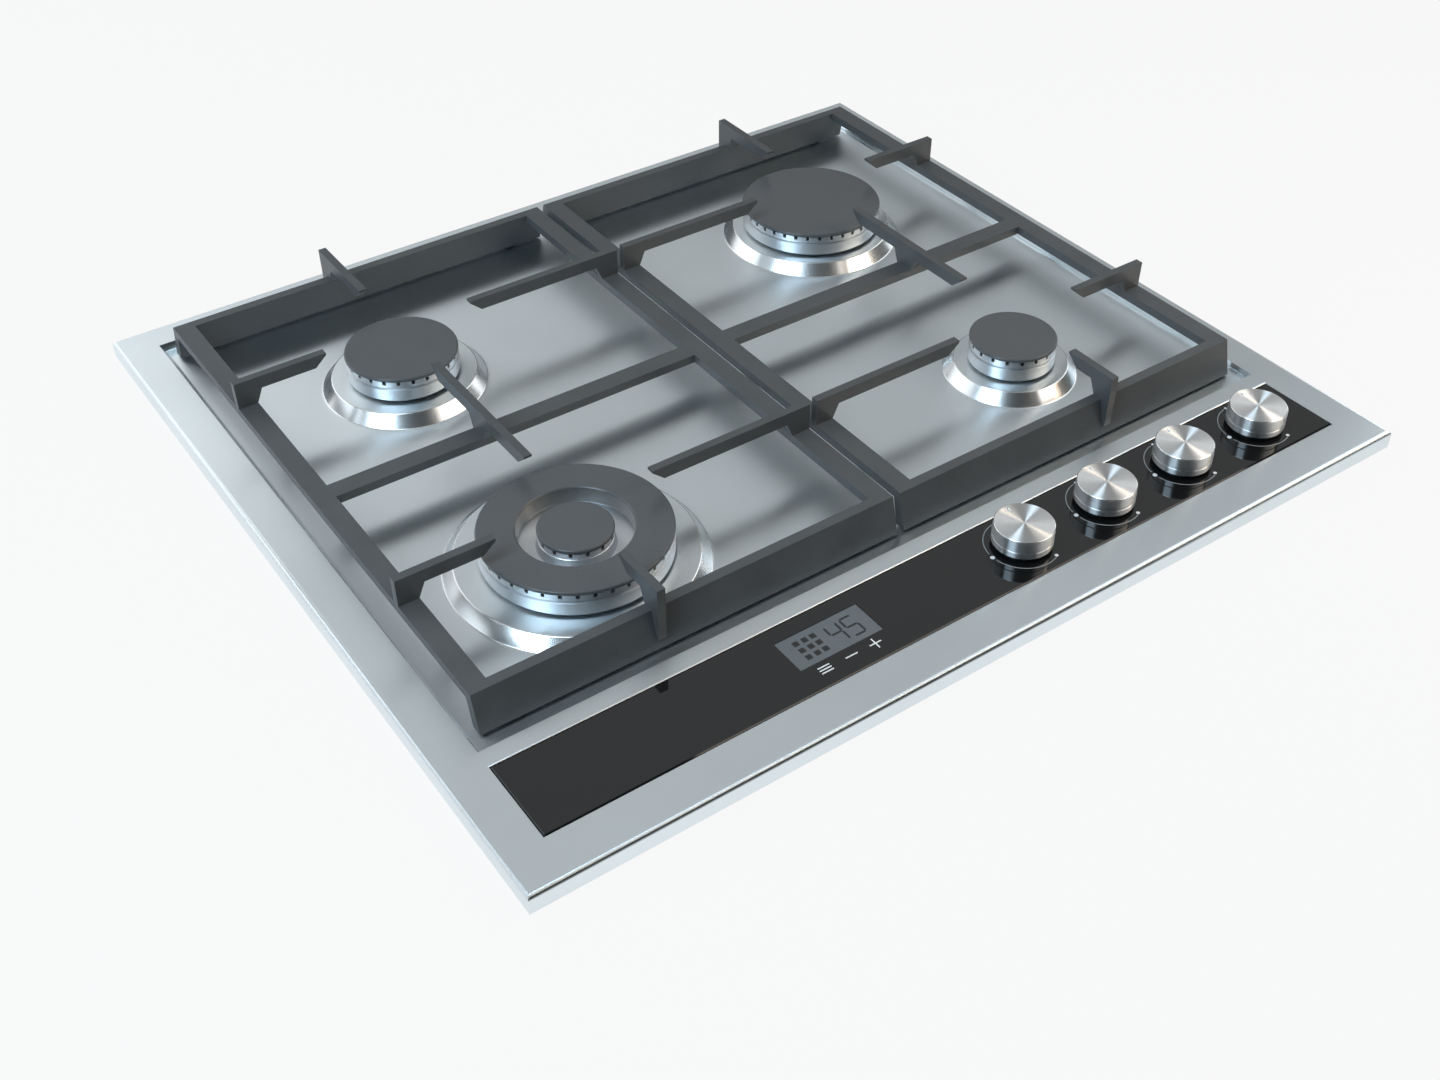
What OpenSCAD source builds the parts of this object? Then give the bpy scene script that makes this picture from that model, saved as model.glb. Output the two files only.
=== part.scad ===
// Built-in gas cooktop: pressed steel plate, two cast grates, four burners, four push-and-turn taps.
// Origin: centre of the plan, at the underside of the bottom tray. +X right, +Y back, +Z up.

/* [Plate] */
// Overall width of the pressed plate
plate_w = 586; // [570:1:640]
// Overall depth of the pressed plate
plate_d = 526; // [516:1:560]
// Height of the rim from its underside to the deck
rim_h = 11.5; // [9:0.5:16]
// Bevel round the top edge of the rim
rim_bevel = 2; // [1:0.25:4]
// Bevel on the deck's edges round the pan and the glass
edge_bevel = 0.5; // [0.2:0.1:0.8]
// Thickness of the steel sheet
sheet_t = 1; // [0.6:0.1:1.5]
// Width of the flange folded in under the rim
flange_w = 14; // [10:0.5:18]
// Margin from the plate's side edges to the glass and the pan
side_margin = 23; // [18:0.5:30]
// Margin from the front edge to the glass
front_margin = 25.5; // [20:0.5:34]
// Margin from the back edge to the pan
back_margin = 21.7; // [18:0.1:30]
// Width of the deck strip between the glass and the pan
web_w = 11; // [8:0.5:16]

/* [Pan] */
// Depth of the pan and of the pocket for the glass
pan_depth = 5; // [4:0.25:7]
// Inward run of the pan's walls
pan_wall_run = 1.2; // [0.5:0.1:3]
// Fillet at the foot of the pan's walls
pan_fillet = 2.6; // [1:0.1:3.5]
// Height of each burner's raised zone above the pan floor
zone_h = 7.5; // [6:0.25:9]
// Width of the conical band round each raised zone
zone_band = 6; // [4:0.25:8]

/* [Control panel] */
// Depth of the glass strip, front to back
panel_d = 50.8; // [48:0.2:60]
// Gap round the glass
glass_gap = 0.4; // [0.2:0.1:0.8]
// Bevel on the top edges of the glass
glass_bevel = 0.6; // [0.3:0.1:1.2]
// Distance between neighbouring knobs
knob_pitch = 62; // [50:0.5:64]
// Knobs' centre line, behind the middle of the glass
knob_back = 0.5; // [0:0.1:1]
// Distance from the glass's right end to the last knob
knob_end_gap = 39; // [30:0.5:45]
// Display's centre, left of the middle of the glass
display_x = 85.5; // [70:0.5:100]
// Display's centre, behind the middle of the glass
display_y = 2.9; // [0:0.1:6]
// Width of the display
display_w = 53; // [40:0.5:58]
// Depth of the display
display_d = 23; // [16:0.5:25]
// Touch sensors' centre line, in front of the middle of the glass
touch_y = 14.4; // [13.5:0.1:17]
// Distance between neighbouring touch sensors
touch_pitch = 16; // [12:0.2:18]

/* [Knobs] */
// Radius of a knob at its foot
knob_r = 17; // [14:0.25:19]
// Height of a knob's top above the glass
knob_h = 14.5; // [12:0.25:20]
// Gap under a knob, which its push uses
knob_gap = 2.6; // [2:0.1:4]
// Push travel of a knob
knob_travel = 2.2; // [1.5:0.1:3.5]
// Wall of a knob
knob_wall = 2; // [1.2:0.1:3]
// Distance of the pointer dimple from the knob's axis
dimple_at = 13.2; // [9:0.1:13.4]
// Radius of the pointer dimple
dimple_r = 1.4; // [0.8:0.1:2]
// Radius of a spindle
spindle_r = 4; // [3:0.1:4.5]
// Running clearance of spindles and plugs, on the radius
run_fit = 0.06; // [0.02:0.01:0.1]

/* [Taps and pipes] */
// Radius of a tap's plug
plug_r = 8; // [7:0.1:9]
// Width and depth of a tap's body
tap_w = 26; // [22:0.5:28]
// Height of a tap's body
tap_h = 32; // [29:0.5:33]
// Height of a tap's body above the tray's underside
tap_z = 10; // [6:0.5:11]
// Thickness of a tap's bonnet
bonnet_t = 3; // [2:0.25:4]
// Radius of the gas rail
rail_r = 9; // [8:0.25:9.5]
// Wall of the gas rail and of the feed pipes
tube_wall = 1.2; // [0.8:0.1:1.6]
// Height of the rail's axis
rail_z = 20; // [17:0.5:21]
// Distance from a tap's axis back to the rail's axis
rail_back = 24; // [23:0.5:28]
// Bend radius of the rail
rail_bend = 14; // [12:1:20]
// Radius of a tap's neck into the rail
neck_r = 5; // [3.5:0.25:6]
// Radius of a feed pipe
pipe_r = 3; // [2.5:0.1:3.4]
// Height of the feed pipes' axes
pipe_z = 34; // [33:0.5:36]
// Bend radius of the feed pipes
pipe_bend = 14; // [8:1:18]
// Radius of the threaded gas inlet
inlet_r = 10.48; // [8:0.01:12]
// Length of the threaded gas inlet
inlet_len = 11; // [8:0.25:11.5]

/* [Burners] */
// From a grate's outer side to its burners' axes
burner_side = 105.5; // [98:0.5:112]
// From the frame's front edge to the front burners' axes
burner_front = 77.55; // [75:0.05:81]
// From the rear burners' axes to the frame's back edge
burner_back = 101.95; // [98:0.05:105]
// Cap radius of the rear left burner
cap_r_rear_left = 34.5; // [30:0.5:40]
// Cap radius of the front left ring burner
cap_r_front_left = 53.5; // [52:0.5:56]
// Cap radius of the rear right burner
cap_r_rear_right = 47.3; // [42:0.1:47.6]
// Cap radius of the front right burner
cap_r_front_right = 27; // [25:0.5:32]
// Raised zone's radius round the rear left burner
zone_r_rear_left = 50.3; // [49:0.1:60]
// Raised zone's radius round the front left burner
zone_r_front_left = 73; // [72:0.5:76]
// Raised zone's radius round the rear right burner
zone_r_rear_right = 60; // [59:0.5:68]
// Raised zone's radius round the front right burner
zone_r_front_right = 41.3; // [41:0.1:50]
// Height of the caps' tops above the deck
cap_z = 20; // [19:0.25:22]
// Thickness of a cap
cap_t = 2.2; // [1.6:0.1:3]
// Gap between a cap and the top of its head, seen from outside
cap_gap = 0.6; // [0.3:0.1:1]
// Width of a flame slot
slot_w = 2; // [1:0.1:2.4]
// Height of a flame slot
slot_h = 2.4; // [1.5:0.1:3.5]
// Hole radius of the ring burner's outer cap
ring_hole_r = 32; // [30:0.5:34]
// Radius of the ring burner's inner cap
inner_cap_r = 21; // [19:0.5:22]
// Thickness of a cup's flange on the raised zone
cup_flange_t = 2; // [1.6:0.1:2.5]
// How far a cup's flange stays inside its cap
cup_flange_in = 3; // [2:0.25:4]
// How far the hole in the plate stays inside the cap
cup_hole_in = 9; // [8.6:0.1:9.4]
// Radius of a cup's base
cup_base_r = 16; // [14:0.5:16.5]
// Seat clearance of lift-off pieces
lift_fit = 0.3; // [0.2:0.05:0.5]

/* [Grates] */
// Gap from the pan's sides to the grates
grate_side_gap = 7.5; // [6:0.25:12]
// Gap between the two grates
grate_gap = 5; // [3:0.25:8]
// From the pan's front edge to the frame's top front edge
grate_front_gap = 17.7; // [14:0.1:22]
// From the pan's back edge to the frame's top back edge
grate_back_gap = 15.3; // [14:0.1:20]
// Height of the frame's top above the deck
bar_z = 19; // [17:0.25:22]
// Width of the side bars and the cross bar
bar_w = 12; // [9:0.25:15]
// Thickness of the side bars and the cross bar
bar_t = 5.5; // [4:0.25:8]
// Thickness of the front and back aprons at the top
apron_t = 6.2; // [5:0.1:8]
// Outward slope of the aprons, top to bottom
apron_run = 6; // [3:0.25:8]
// Thickness of a finger
finger_t = 5; // [4:0.25:7]
// Height of the fingers above the frame
finger_h = 17; // [14:0.25:20]
// Depth of a finger's free part
finger_deep = 8; // [6:0.25:10]
// Distance of the fingertips from the burner's axis
finger_reach = 48; // [47.8:0.1:52]
// Length of a fingertip's slant
tip_slant = 7.5; // [5:0.25:10]
// Height of a fingertip's blunt nose
tip_nose = 1.4; // [0.8:0.1:2.5]
// Run of the chamfer at a finger's root
root_run = 4; // [2:0.25:6]
// Thickness of the rubber feet under the aprons
foot_t = 1.4; // [1:0.1:2.5]
// Radius of a rubber foot
foot_r = 3; // [2.4:0.1:3.2]

/* [Tray and fixings] */
// Height of the tray below the worktop
tray_h = 45.5; // [44:0.5:52]
// Thickness of the seal under the rim
seal_t = 1; // [0.8:0.1:3]
// Width of the seal
seal_w = 10; // [7:0.5:12]
// Tray's side walls, in from the sides of the pan
tray_side_in = 12; // [11:0.25:16]
// Tray's front wall, behind the front edge of the glass
tray_front_in = 5; // [4:0.25:6]
// Tray's back wall, in front of the pan's back edge
tray_back_in = 8; // [7:0.25:12]
// Width of the notch in the tray for the gas inlet
notch_w = 34; // [32:0.5:38]
// Distance from the tray's right wall to the supply pipe's axis
supply_in = 12; // [11.5:0.25:14]
// Radius of the mains cable's gland bore
gland_r = 4; // [3:0.25:5]

/* [Hidden] */
$fn = 64;
eps = 0.01;

// Levels
worktop_z = tray_h;
rim_z = worktop_z + seal_t;
deck_z = rim_z + rim_h;
floor_z = deck_z - pan_depth;
under_z = floor_z - sheet_t;
zone_z = floor_z + zone_h;
cup_top_z = zone_z + cup_flange_t;
cap_top_z = deck_z + cap_z;
seat_z = cap_top_z - cap_t;
head_top_z = seat_z - cap_gap;
bar_top_z = deck_z + bar_z;
finger_top_z = bar_top_z + finger_h;
finger_low_z = finger_top_z - finger_deep;
apron_z = floor_z + foot_t;
knob_top_z = deck_z + knob_h;
knob_low_z = deck_z + knob_gap;

// Plan
panel_w = plate_w - 2 * side_margin;
panel_front = -plate_d / 2 + front_margin;
panel_back = panel_front + panel_d;
panel_y = (panel_front + panel_back) / 2;
pan_w = panel_w;
pan_front = panel_back + web_w;
pan_back = plate_d / 2 - back_margin;
pan_y = (pan_front + pan_back) / 2;
grate_w = (pan_w - 2 * grate_side_gap - grate_gap) / 2;
frame_front = pan_front + grate_front_gap;
frame_back = pan_back - grate_back_gap;
grate_x0 = grate_gap / 2;
grate_x1 = grate_x0 + grate_w;
burner_x = grate_x1 - burner_side;
rear_y = frame_back - burner_back;
front_y = frame_front + burner_front;
cross_y = (rear_y + front_y) / 2;
tray_x = pan_w / 2 - tray_side_in;
tray_front = panel_front + tray_front_in;
tray_back = pan_back - tray_back_in;

// Burners in the order rear left, front left, rear right, front right
burner_at = [[-burner_x, rear_y], [-burner_x, front_y], [burner_x, rear_y], [burner_x, front_y]];
cap_r = [cap_r_rear_left, cap_r_front_left, cap_r_rear_right, cap_r_front_right];
zone_r = [zone_r_rear_left, zone_r_front_left, zone_r_rear_right, zone_r_front_right];
slot_n = [24, 36, 36, 18];
inner_slot_n = 14;
// Tap 1 feeds the front left burner, 2 the rear left, 3 the front right and 4 the rear right
fed_by_tap = [1, 0, 3, 2];
tap_x = [for (k = [0:3]) panel_w / 2 - knob_end_gap - (3 - k) * knob_pitch];
tap_y = panel_y + knob_back;
plug_low_z = tap_z + 4;
tap_top_z = tap_z + tap_h;
spindle_low_z = tap_top_z - 16;
rail_y = tap_y + rail_back;
supply_x = tray_x - supply_in;
notch_y = tray_back - notch_w;
inlet_y = tray_back - notch_w / 2;
cup_bore_in = 2.5;
cup_side_gap = 0.5;
cup_shoulder_z = under_z - 6;
cup_floor_z = cup_shoulder_z - 5;
cup_low_z = pipe_z - 7;
neck_tube_r = 7;
neck_wall = 2.5;
igniter_angle = 75;
sensor_angle = 38;
probe_out = 3;
probe_r = 2.3;
probe_hole_gap = 0.25;
probe_low_z = under_z - 8;
sensor_low_z = probe_low_z + 3;
screw_r = 1.5;
screw_head_r = 2.6;
screw_gap = 0.1;
cup_screw_in = cup_flange_in + screw_head_r + screw_gap + 0.5;
dark_iron = [0.2, 0.21, 0.22];
steel = [0.75, 0.77, 0.79];
brass = [0.78, 0.62, 0.32];

// A block with all four top edges bevelled
module bevelled_block(w, d, z0, z1, bevel) {
    intersection() {
        rotate([90, 0, 0]) linear_extrude(d, center = true)
            polygon([[-w / 2, z0], [w / 2, z0], [w / 2, z1 - bevel], [w / 2 - bevel, z1],
                     [-w / 2 + bevel, z1], [-w / 2, z1 - bevel]]);
        rotate([90, 0, 90]) linear_extrude(w, center = true)
            polygon([[-d / 2, z0], [d / 2, z0], [d / 2, z1 - bevel], [d / 2 - bevel, z1],
                     [-d / 2 + bevel, z1], [-d / 2, z1 - bevel]]);
    }
}

// Cross-section of the pan: sloped walls with a filleted foot, and a bevel at the top where it cuts the deck
function pan_section(half, depth, fillet, top) = concat(
    top > 0 ? [[-half - edge_bevel, top], [-half - edge_bevel, 0], [-half, -edge_bevel]] : [[-half, 0]],
    [for (i = [0:6]) [-half + pan_wall_run + fillet - fillet * cos(i * 15),
                      -depth + fillet - fillet * sin(i * 15)]],
    [for (i = [6:-1:0]) [half - pan_wall_run - fillet + fillet * cos(i * 15),
                         -depth + fillet - fillet * sin(i * 15)]],
    top > 0 ? [[half, -edge_bevel], [half + edge_bevel, 0], [half + edge_bevel, top]] : [[half, 0]]);

// The pan as a solid: grown by the sheet for its outside, plain for its inside
module pan_tub(grow, top) {
    translate([0, pan_y, deck_z]) intersection() {
        rotate([90, 0, 0]) linear_extrude(pan_back - pan_front + 2 * grow, center = true)
            polygon(pan_section(pan_w / 2 + grow, pan_depth + grow, pan_fillet + grow, top));
        rotate([90, 0, 90]) linear_extrude(pan_w + 2 * grow, center = true)
            polygon(pan_section((pan_back - pan_front) / 2 + grow, pan_depth + grow,
                pan_fillet + grow, top));
    }
}

module centred_box(w, d, z0, z1) {
    translate([-w / 2, -d / 2, z0]) cube([w, d, z1 - z0]);
}

// The pocket for the glass, with a bevel round its top
module glass_pocket() {
    intersection() {
        rotate([90, 0, 0]) linear_extrude(panel_d + 4, center = true) polygon(pocket_section(panel_w / 2));
        rotate([90, 0, 90]) linear_extrude(panel_w + 4, center = true) polygon(pocket_section(panel_d / 2));
    }
}
function pocket_section(half) = [
    [-half, floor_z], [half, floor_z], [half, deck_z - edge_bevel], [half + edge_bevel, deck_z],
    [half + edge_bevel, deck_z + 1], [-half - edge_bevel, deck_z + 1], [-half - edge_bevel, deck_z],
    [-half, deck_z - edge_bevel]];

// The raised zone round a burner: conical band and flat top, one sheet thick
module raised_zone(i) {
    lap = 3;
    translate([burner_at[i].x, burner_at[i].y, 0]) rotate_extrude($fn = 96) polygon([
        [zone_r[i] + lap, floor_z], [zone_r[i], floor_z], [zone_r[i] - zone_band, zone_z],
        [cap_r[i] - cup_hole_in, zone_z], [cap_r[i] - cup_hole_in, zone_z - sheet_t],
        [zone_r[i] - zone_band - sheet_t / 2, zone_z - sheet_t], [zone_r[i] - sheet_t / 2, under_z],
        [zone_r[i] + lap, under_z]]);
}

// Where a probe stands beside a burner's cap
module at_probe(i, angle) {
    translate([burner_at[i].x, burner_at[i].y, 0]) rotate(angle) translate([cap_r[i] + probe_out, 0, 0])
        children();
}

// The two screws that hold a cup, left and right of its axis
module at_cup_screws(i) {
    for (side = [-1, 1])
        translate([burner_at[i].x + side * (cap_r[i] - cup_screw_in), burner_at[i].y, 0])
            children();
}

// Studs welded under the plate, which hold the tray's flange
module at_studs() {
    for (x = [-1, 1], y = [tray_front + 80, cross_y, notch_y - 15])
        translate([x * (tray_x + tray_flange / 2), y, 0]) children();
}

module top_plate() color(steel) difference() {
    union() {
        at_studs() translate([0, 0, under_z - stud_len])
            cylinder(r = screw_r, h = stud_len + sheet_t / 2, $fn = 24);
        difference() {
            union() {
                difference() {
                    bevelled_block(plate_w, plate_d, rim_z, deck_z, rim_bevel);
                    bevelled_block(plate_w - 2 * sheet_t, plate_d - 2 * sheet_t, rim_z + sheet_t,
                        deck_z - sheet_t, rim_bevel);
                    centred_box(plate_w - 2 * flange_w, plate_d - 2 * flange_w, rim_z - 1,
                        rim_z + 2 * sheet_t);
                }
                pan_tub(sheet_t, 0);
                translate([0, panel_y, 0]) centred_box(panel_w + 2 * sheet_t, panel_d + 2 * sheet_t,
                    under_z, deck_z);
            }
            pan_tub(0, 5);
            translate([0, panel_y, 0]) glass_pocket();
            for (i = [0:3])
                translate([burner_at[i].x, burner_at[i].y, under_z - 1])
                    cylinder(r = zone_r[i] + 2, h = pan_depth, $fn = 96);
        }
        for (i = [0:3]) raised_zone(i);
    }
    for (k = [0:3]) translate([tap_x[k], tap_y, under_z - 1]) cylinder(r = collar_tube_r + 0.3, h = 4);
    translate([-display_x, board_y, 0])
        centred_box(board_w - 4 * board_post_in + 2, board_d, under_z - 1, floor_z + 1);
    for (i = [0:3], a = [igniter_angle, sensor_angle])
        at_probe(i, a) translate([0, 0, zone_z - 2])
            cylinder(r = probe_r + probe_hole_gap, h = 4, $fn = 32);
    for (i = [0:3]) at_cup_screws(i) translate([0, 0, zone_z - 2])
        cylinder(r = screw_r + screw_gap, h = 4, $fn = 24);
}

collar_tube_r = 8.8;
collar_bore_r = 7.6;
collar_r = knob_r - knob_wall - 0.6;
collar_h = 2.4;
board_w = 84;
board_d = 40;
board_y = panel_y + 2;
board_post_in = 3.5;
board_t = 1.6;
board_z = under_z - 6;

module control_glass() color([0.12, 0.12, 0.13]) difference() {
    translate([0, panel_y, 0])
        bevelled_block(panel_w - 2 * glass_gap, panel_d - 2 * glass_gap, floor_z, deck_z, glass_bevel);
    for (k = [0:3]) translate([tap_x[k], tap_y, floor_z - 1])
        cylinder(r = collar_tube_r + 0.2, h = pan_depth + 2);
    translate([-display_x, panel_y + display_y, 0])
        centred_box(display_w, display_d, floor_z - 1, deck_z + 1);
}

module display_panel() color([0.4, 0.42, 0.44]) translate([-display_x, panel_y + display_y, 0]) {
    centred_box(display_w - 0.2, display_d - 0.2, floor_z, deck_z);
    centred_box(display_w - 6, display_d - 6, board_z + board_t, floor_z);
}

module at_board_posts() {
    for (x = [-1, 1], y = [-1, 1])
        translate([x * (board_w / 2 - board_post_in), y * (board_d / 2 - board_post_in), 0]) children();
}

module timer_board() color([0.1, 0.35, 0.18]) translate([-display_x, board_y, 0]) {
    difference() {
        centred_box(board_w, board_d, board_z, board_z + board_t);
        at_board_posts() translate([0, 0, board_z - 1]) cylinder(r = 1.2, h = 4, $fn = 24);
    }
    at_board_posts() translate([0, 0, board_z + board_t]) difference() {
        cylinder(r = 2.4, h = under_z - board_z - board_t, $fn = 32);
        translate([0, 0, -1]) cylinder(r = 1.2, h = under_z, $fn = 24);
    }
    translate([board_w / 2 - 16, 0, 0]) centred_box(10, 18, board_z - 9, board_z);
    for (i = [0:2]) translate([-22 + 13 * i, 6, board_z - 4]) cylinder(r = 3.6 - 0.6 * i, h = 4, $fn = 32);
}

module touch_springs() color("silver")
    for (i = [-1:1])
        translate([-display_x + i * touch_pitch, panel_y - touch_y, board_z + board_t]) difference() {
            cylinder(r = 3, h = floor_z - board_z - board_t, $fn = 32);
            translate([0, 0, 1]) cylinder(r = 2.2, h = floor_z, $fn = 32);
        }

// Plan of the tray: a rectangle with a notch at the rear right for the gas inlet
function tray_plan(grow) = [
    [-tray_x - grow, tray_front - grow], [tray_x + grow, tray_front - grow],
    [tray_x + grow, notch_y + grow],
    [tray_x - notch_w + grow, notch_y + grow], [tray_x - notch_w + grow, tray_back + grow],
    [-tray_x - grow, tray_back + grow]];

tray_flange = 10;
stud_len = 6;
bead_h = 1.6;
bead_w = 14;
bead_front = 70;
bead_back = 90;
bead_len = tray_back - tray_front - bead_front - bead_back;
bead_pitch = (2 * tray_x - 116) / 4;
vent_w = 22;
vent_d = 4;
vent_front = 42;
vent_pitch = (2 * tray_x - 108) / 12;

module at_beads() {
    for (n = [-1.5:1.5]) translate([n * bead_pitch, tray_front + bead_front + bead_len / 2, 0]) children();
}

module bottom_tray() color(steel) difference() {
    union() {
        difference() {
            linear_extrude(under_z) polygon(tray_plan(0));
            translate([0, 0, sheet_t]) linear_extrude(under_z) polygon(tray_plan(-sheet_t));
        }
        translate([0, 0, under_z - sheet_t]) linear_extrude(sheet_t) difference() {
            polygon(tray_plan(tray_flange));
            polygon(tray_plan(-sheet_t));
        }
        // Stiffening beads pressed up from the floor
        at_beads() centred_box(bead_w, bead_len, 0, sheet_t + bead_h);
    }
    at_beads() centred_box(bead_w - 2 * sheet_t, bead_len - 2 * sheet_t, -1, bead_h);
    // Vent slots under the taps
    for (n = [-6:6]) translate([n * vent_pitch, tray_front + vent_front, 0])
        centred_box(vent_w, vent_d, -1, sheet_t + 1);
    translate([supply_x, notch_y, rail_z]) rotate([90, 0, 0])
        cylinder(r = rail_r + 0.4, h = 20, center = true);
    translate([gland_x, tray_back, gland_z]) rotate([90, 0, 0])
        cylinder(r = gland_body_r + 0.1, h = 20, center = true);
    at_studs() translate([0, 0, under_z - 3]) cylinder(r = screw_r + screw_gap, h = 4, $fn = 24);
    at_clamps() translate([-eps - 3, 0, clamp_screw_z]) rotate([0, 90, 0])
        cylinder(r = screw_r + screw_gap, h = 8, $fn = 24);
}

gland_x = -tray_x + 58;
gland_z = 22;
gland_body_r = 7;
clamp_w = 22;
clamp_t = 1.5;
clamp_reach = 32;
clamp_screw_z = 16;
clamp_foot_z = 4;
clamp_h = 22;
clamp_lip = 5;
clamp_front = 70;
clamp_back = 60;
// How far the clamps' screws stand out inside the tray
clamp_screw_in = 1.2;

module tray_nuts() color(steel) at_studs() translate([0, 0, under_z - sheet_t - 2.4]) difference() {
    cylinder(r = 3.2, h = 2.4, $fn = 6);
    translate([0, 0, -1]) cylinder(r = screw_r + 0.02, h = 5, $fn = 24);
}

seal_inset = 3;

module worktop_seal() color([0.15, 0.15, 0.15]) difference() {
    centred_box(plate_w - 2 * seal_inset, plate_d - 2 * seal_inset, worktop_z, rim_z);
    centred_box(plate_w - 2 * (seal_inset + seal_w), plate_d - 2 * (seal_inset + seal_w), worktop_z - 1,
        rim_z + 1);
}

// Four clamp positions on the tray's side walls, each facing outward along +X
module at_clamps() {
    for (y = [tray_front + clamp_front, notch_y - clamp_back]) {
        translate([tray_x, y, 0]) children();
        translate([-tray_x, y, 0]) mirror([1, 0, 0]) children();
    }
}

module worktop_clamps() color(steel) at_clamps() difference() {
    union() {
        translate([0, -clamp_w / 2, clamp_foot_z]) cube([clamp_t, clamp_w, clamp_h]);
        translate([0, -clamp_w / 2, clamp_foot_z]) cube([clamp_reach, clamp_w, clamp_t]);
        translate([clamp_reach - clamp_t, -clamp_w / 2, clamp_foot_z]) cube([clamp_t, clamp_w, clamp_lip]);
        for (side = [-1, 1]) translate([0, side * (clamp_w / 2 - 1), clamp_foot_z]) rotate([90, 0, 0])
            linear_extrude(1.5, center = true) polygon([[0, 0], [10, 0], [0, 12]]);
    }
    translate([-1, 0, clamp_screw_z]) rotate([0, 90, 0]) cylinder(r = screw_r + screw_gap, h = 4, $fn = 24);
}

module clamp_screws() color(steel) at_clamps() translate([0, 0, clamp_screw_z]) rotate([0, 90, 0]) {
    translate([0, 0, -sheet_t - clamp_screw_in])
        cylinder(r = screw_r, h = sheet_t + clamp_screw_in + clamp_t + 0.5, $fn = 24);
    translate([0, 0, clamp_t]) cylinder(r = screw_head_r, h = 2, $fn = 24);
}

boss_r = 6.6;
knob_bore_z = knob_top_z - 3.5;
groove_z = knob_low_z + 3.8;

module knob(k) color([0.8, 0.81, 0.82]) translate([tap_x[k], tap_y, 0]) difference() {
    rotate_extrude($fn = 96) polygon([
        [0, knob_top_z], [knob_r - 0.7, knob_top_z], [knob_r - 0.3, knob_top_z - 0.4],
        [knob_r, groove_z + 0.7],
        [knob_r - 0.5, groove_z + 0.5], [knob_r - 0.5, groove_z + 0.1], [knob_r, groove_z - 0.1],
        [knob_r, knob_low_z], [knob_r - knob_wall, knob_low_z],
        [knob_r - knob_wall - 0.4, knob_top_z - knob_wall],
        [boss_r, knob_top_z - knob_wall], [boss_r, knob_low_z + 1], [0, knob_low_z + 1]]);
    translate([0, 0, knob_low_z]) cylinder(r = spindle_r + run_fit, h = knob_bore_z - knob_low_z);
    translate([0, dimple_at, knob_top_z + dimple_r * 0.5]) sphere(r = dimple_r, $fn = 32);
}
module knob_1() knob(0);
module knob_2() knob(1);
module knob_3() knob(2);
module knob_4() knob(3);

module knob_collars() color([0.06, 0.06, 0.06])
    for (k = [0:3]) translate([tap_x[k], tap_y, 0]) difference() {
        union() {
            translate([0, 0, floor_z]) cylinder(r = collar_tube_r, h = pan_depth + collar_h);
            translate([0, 0, deck_z]) cylinder(r = collar_r, h = collar_h);
        }
        translate([0, 0, floor_z - 1]) cylinder(r = collar_bore_r, h = pan_depth + collar_h + 2);
    }

// A spindle with the flat that keys it to its knob
module spindle(k) color(brass) translate([tap_x[k], tap_y, 0]) difference() {
    translate([0, 0, spindle_low_z]) cylinder(r = spindle_r, h = knob_bore_z - spindle_low_z);
    translate([spindle_r - 1, -spindle_r, knob_low_z + 2]) cube([spindle_r, 2 * spindle_r, knob_h]);
}
module spindle_1() spindle(0);
module spindle_2() spindle(1);
module spindle_3() spindle(2);
module spindle_4() spindle(3);

plug_end_gap = 0.2;

// A tap's plug: bored for its spindle from above, with a cross port for the gas
module plug(k) color(brass) translate([tap_x[k], tap_y, 0]) difference() {
    translate([0, 0, plug_low_z]) cylinder(r = plug_r, h = tap_top_z - plug_low_z - plug_end_gap);
    translate([0, 0, spindle_low_z - knob_travel - 1]) cylinder(r = spindle_r + run_fit, h = tap_h);
    translate([0, 0, rail_z]) rotate([-90, 0, 0]) cylinder(r = 2, h = plug_r + 1, $fn = 32);
    translate([0, 0, rail_z]) rotate([0, -90, 0]) cylinder(r = 2, h = plug_r + 1, $fn = 32);
}
module plug_1() plug(0);
module plug_2() plug(1);
module plug_3() plug(2);
module plug_4() plug(3);

neck_gap = 0.06;
pipe_gap = 0.08;
pipe_socket = 5;

// A tap's body: a block with the plug's bore, a neck into the rail and a socket for the feed pipe
module tap_body(k) color(brass) translate([tap_x[k], tap_y, 0]) difference() {
    union() {
        centred_box(tap_w, tap_w, tap_z, tap_top_z);
        translate([0, 0, rail_z]) rotate([-90, 0, 0]) cylinder(r = neck_r, h = rail_back - rail_r + 3);
        translate([0, tap_w / 2, pipe_z]) rotate([-90, 0, 0]) cylinder(r = pipe_r + 2, h = 3);
        translate([-tap_w / 2 - 2.5, -4, tap_z + 6]) cube([4, 8, 12]);
    }
    translate([0, 0, plug_low_z]) cylinder(r = plug_r + run_fit, h = tap_h);
    translate([0, 0, rail_z]) rotate([-90, 0, 0]) cylinder(r = 2.4, h = rail_back, $fn = 32);
    translate([0, tap_w / 2 + 3 - pipe_socket, pipe_z]) rotate([-90, 0, 0])
        cylinder(r = pipe_r + pipe_gap, h = pipe_socket + 1);
    translate([0, 0, pipe_z]) rotate([-90, 0, 0]) cylinder(r = 1.5, h = tap_w / 2, $fn = 32);
    for (x = [-1, 1]) translate([x * (tap_w / 2 - 2.6), 0, tap_top_z - 6])
        cylinder(r = 1.2, h = 7, $fn = 24);
}
module tap_body_1() tap_body(0);
module tap_body_2() tap_body(1);
module tap_body_3() tap_body(2);
module tap_body_4() tap_body(3);

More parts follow.
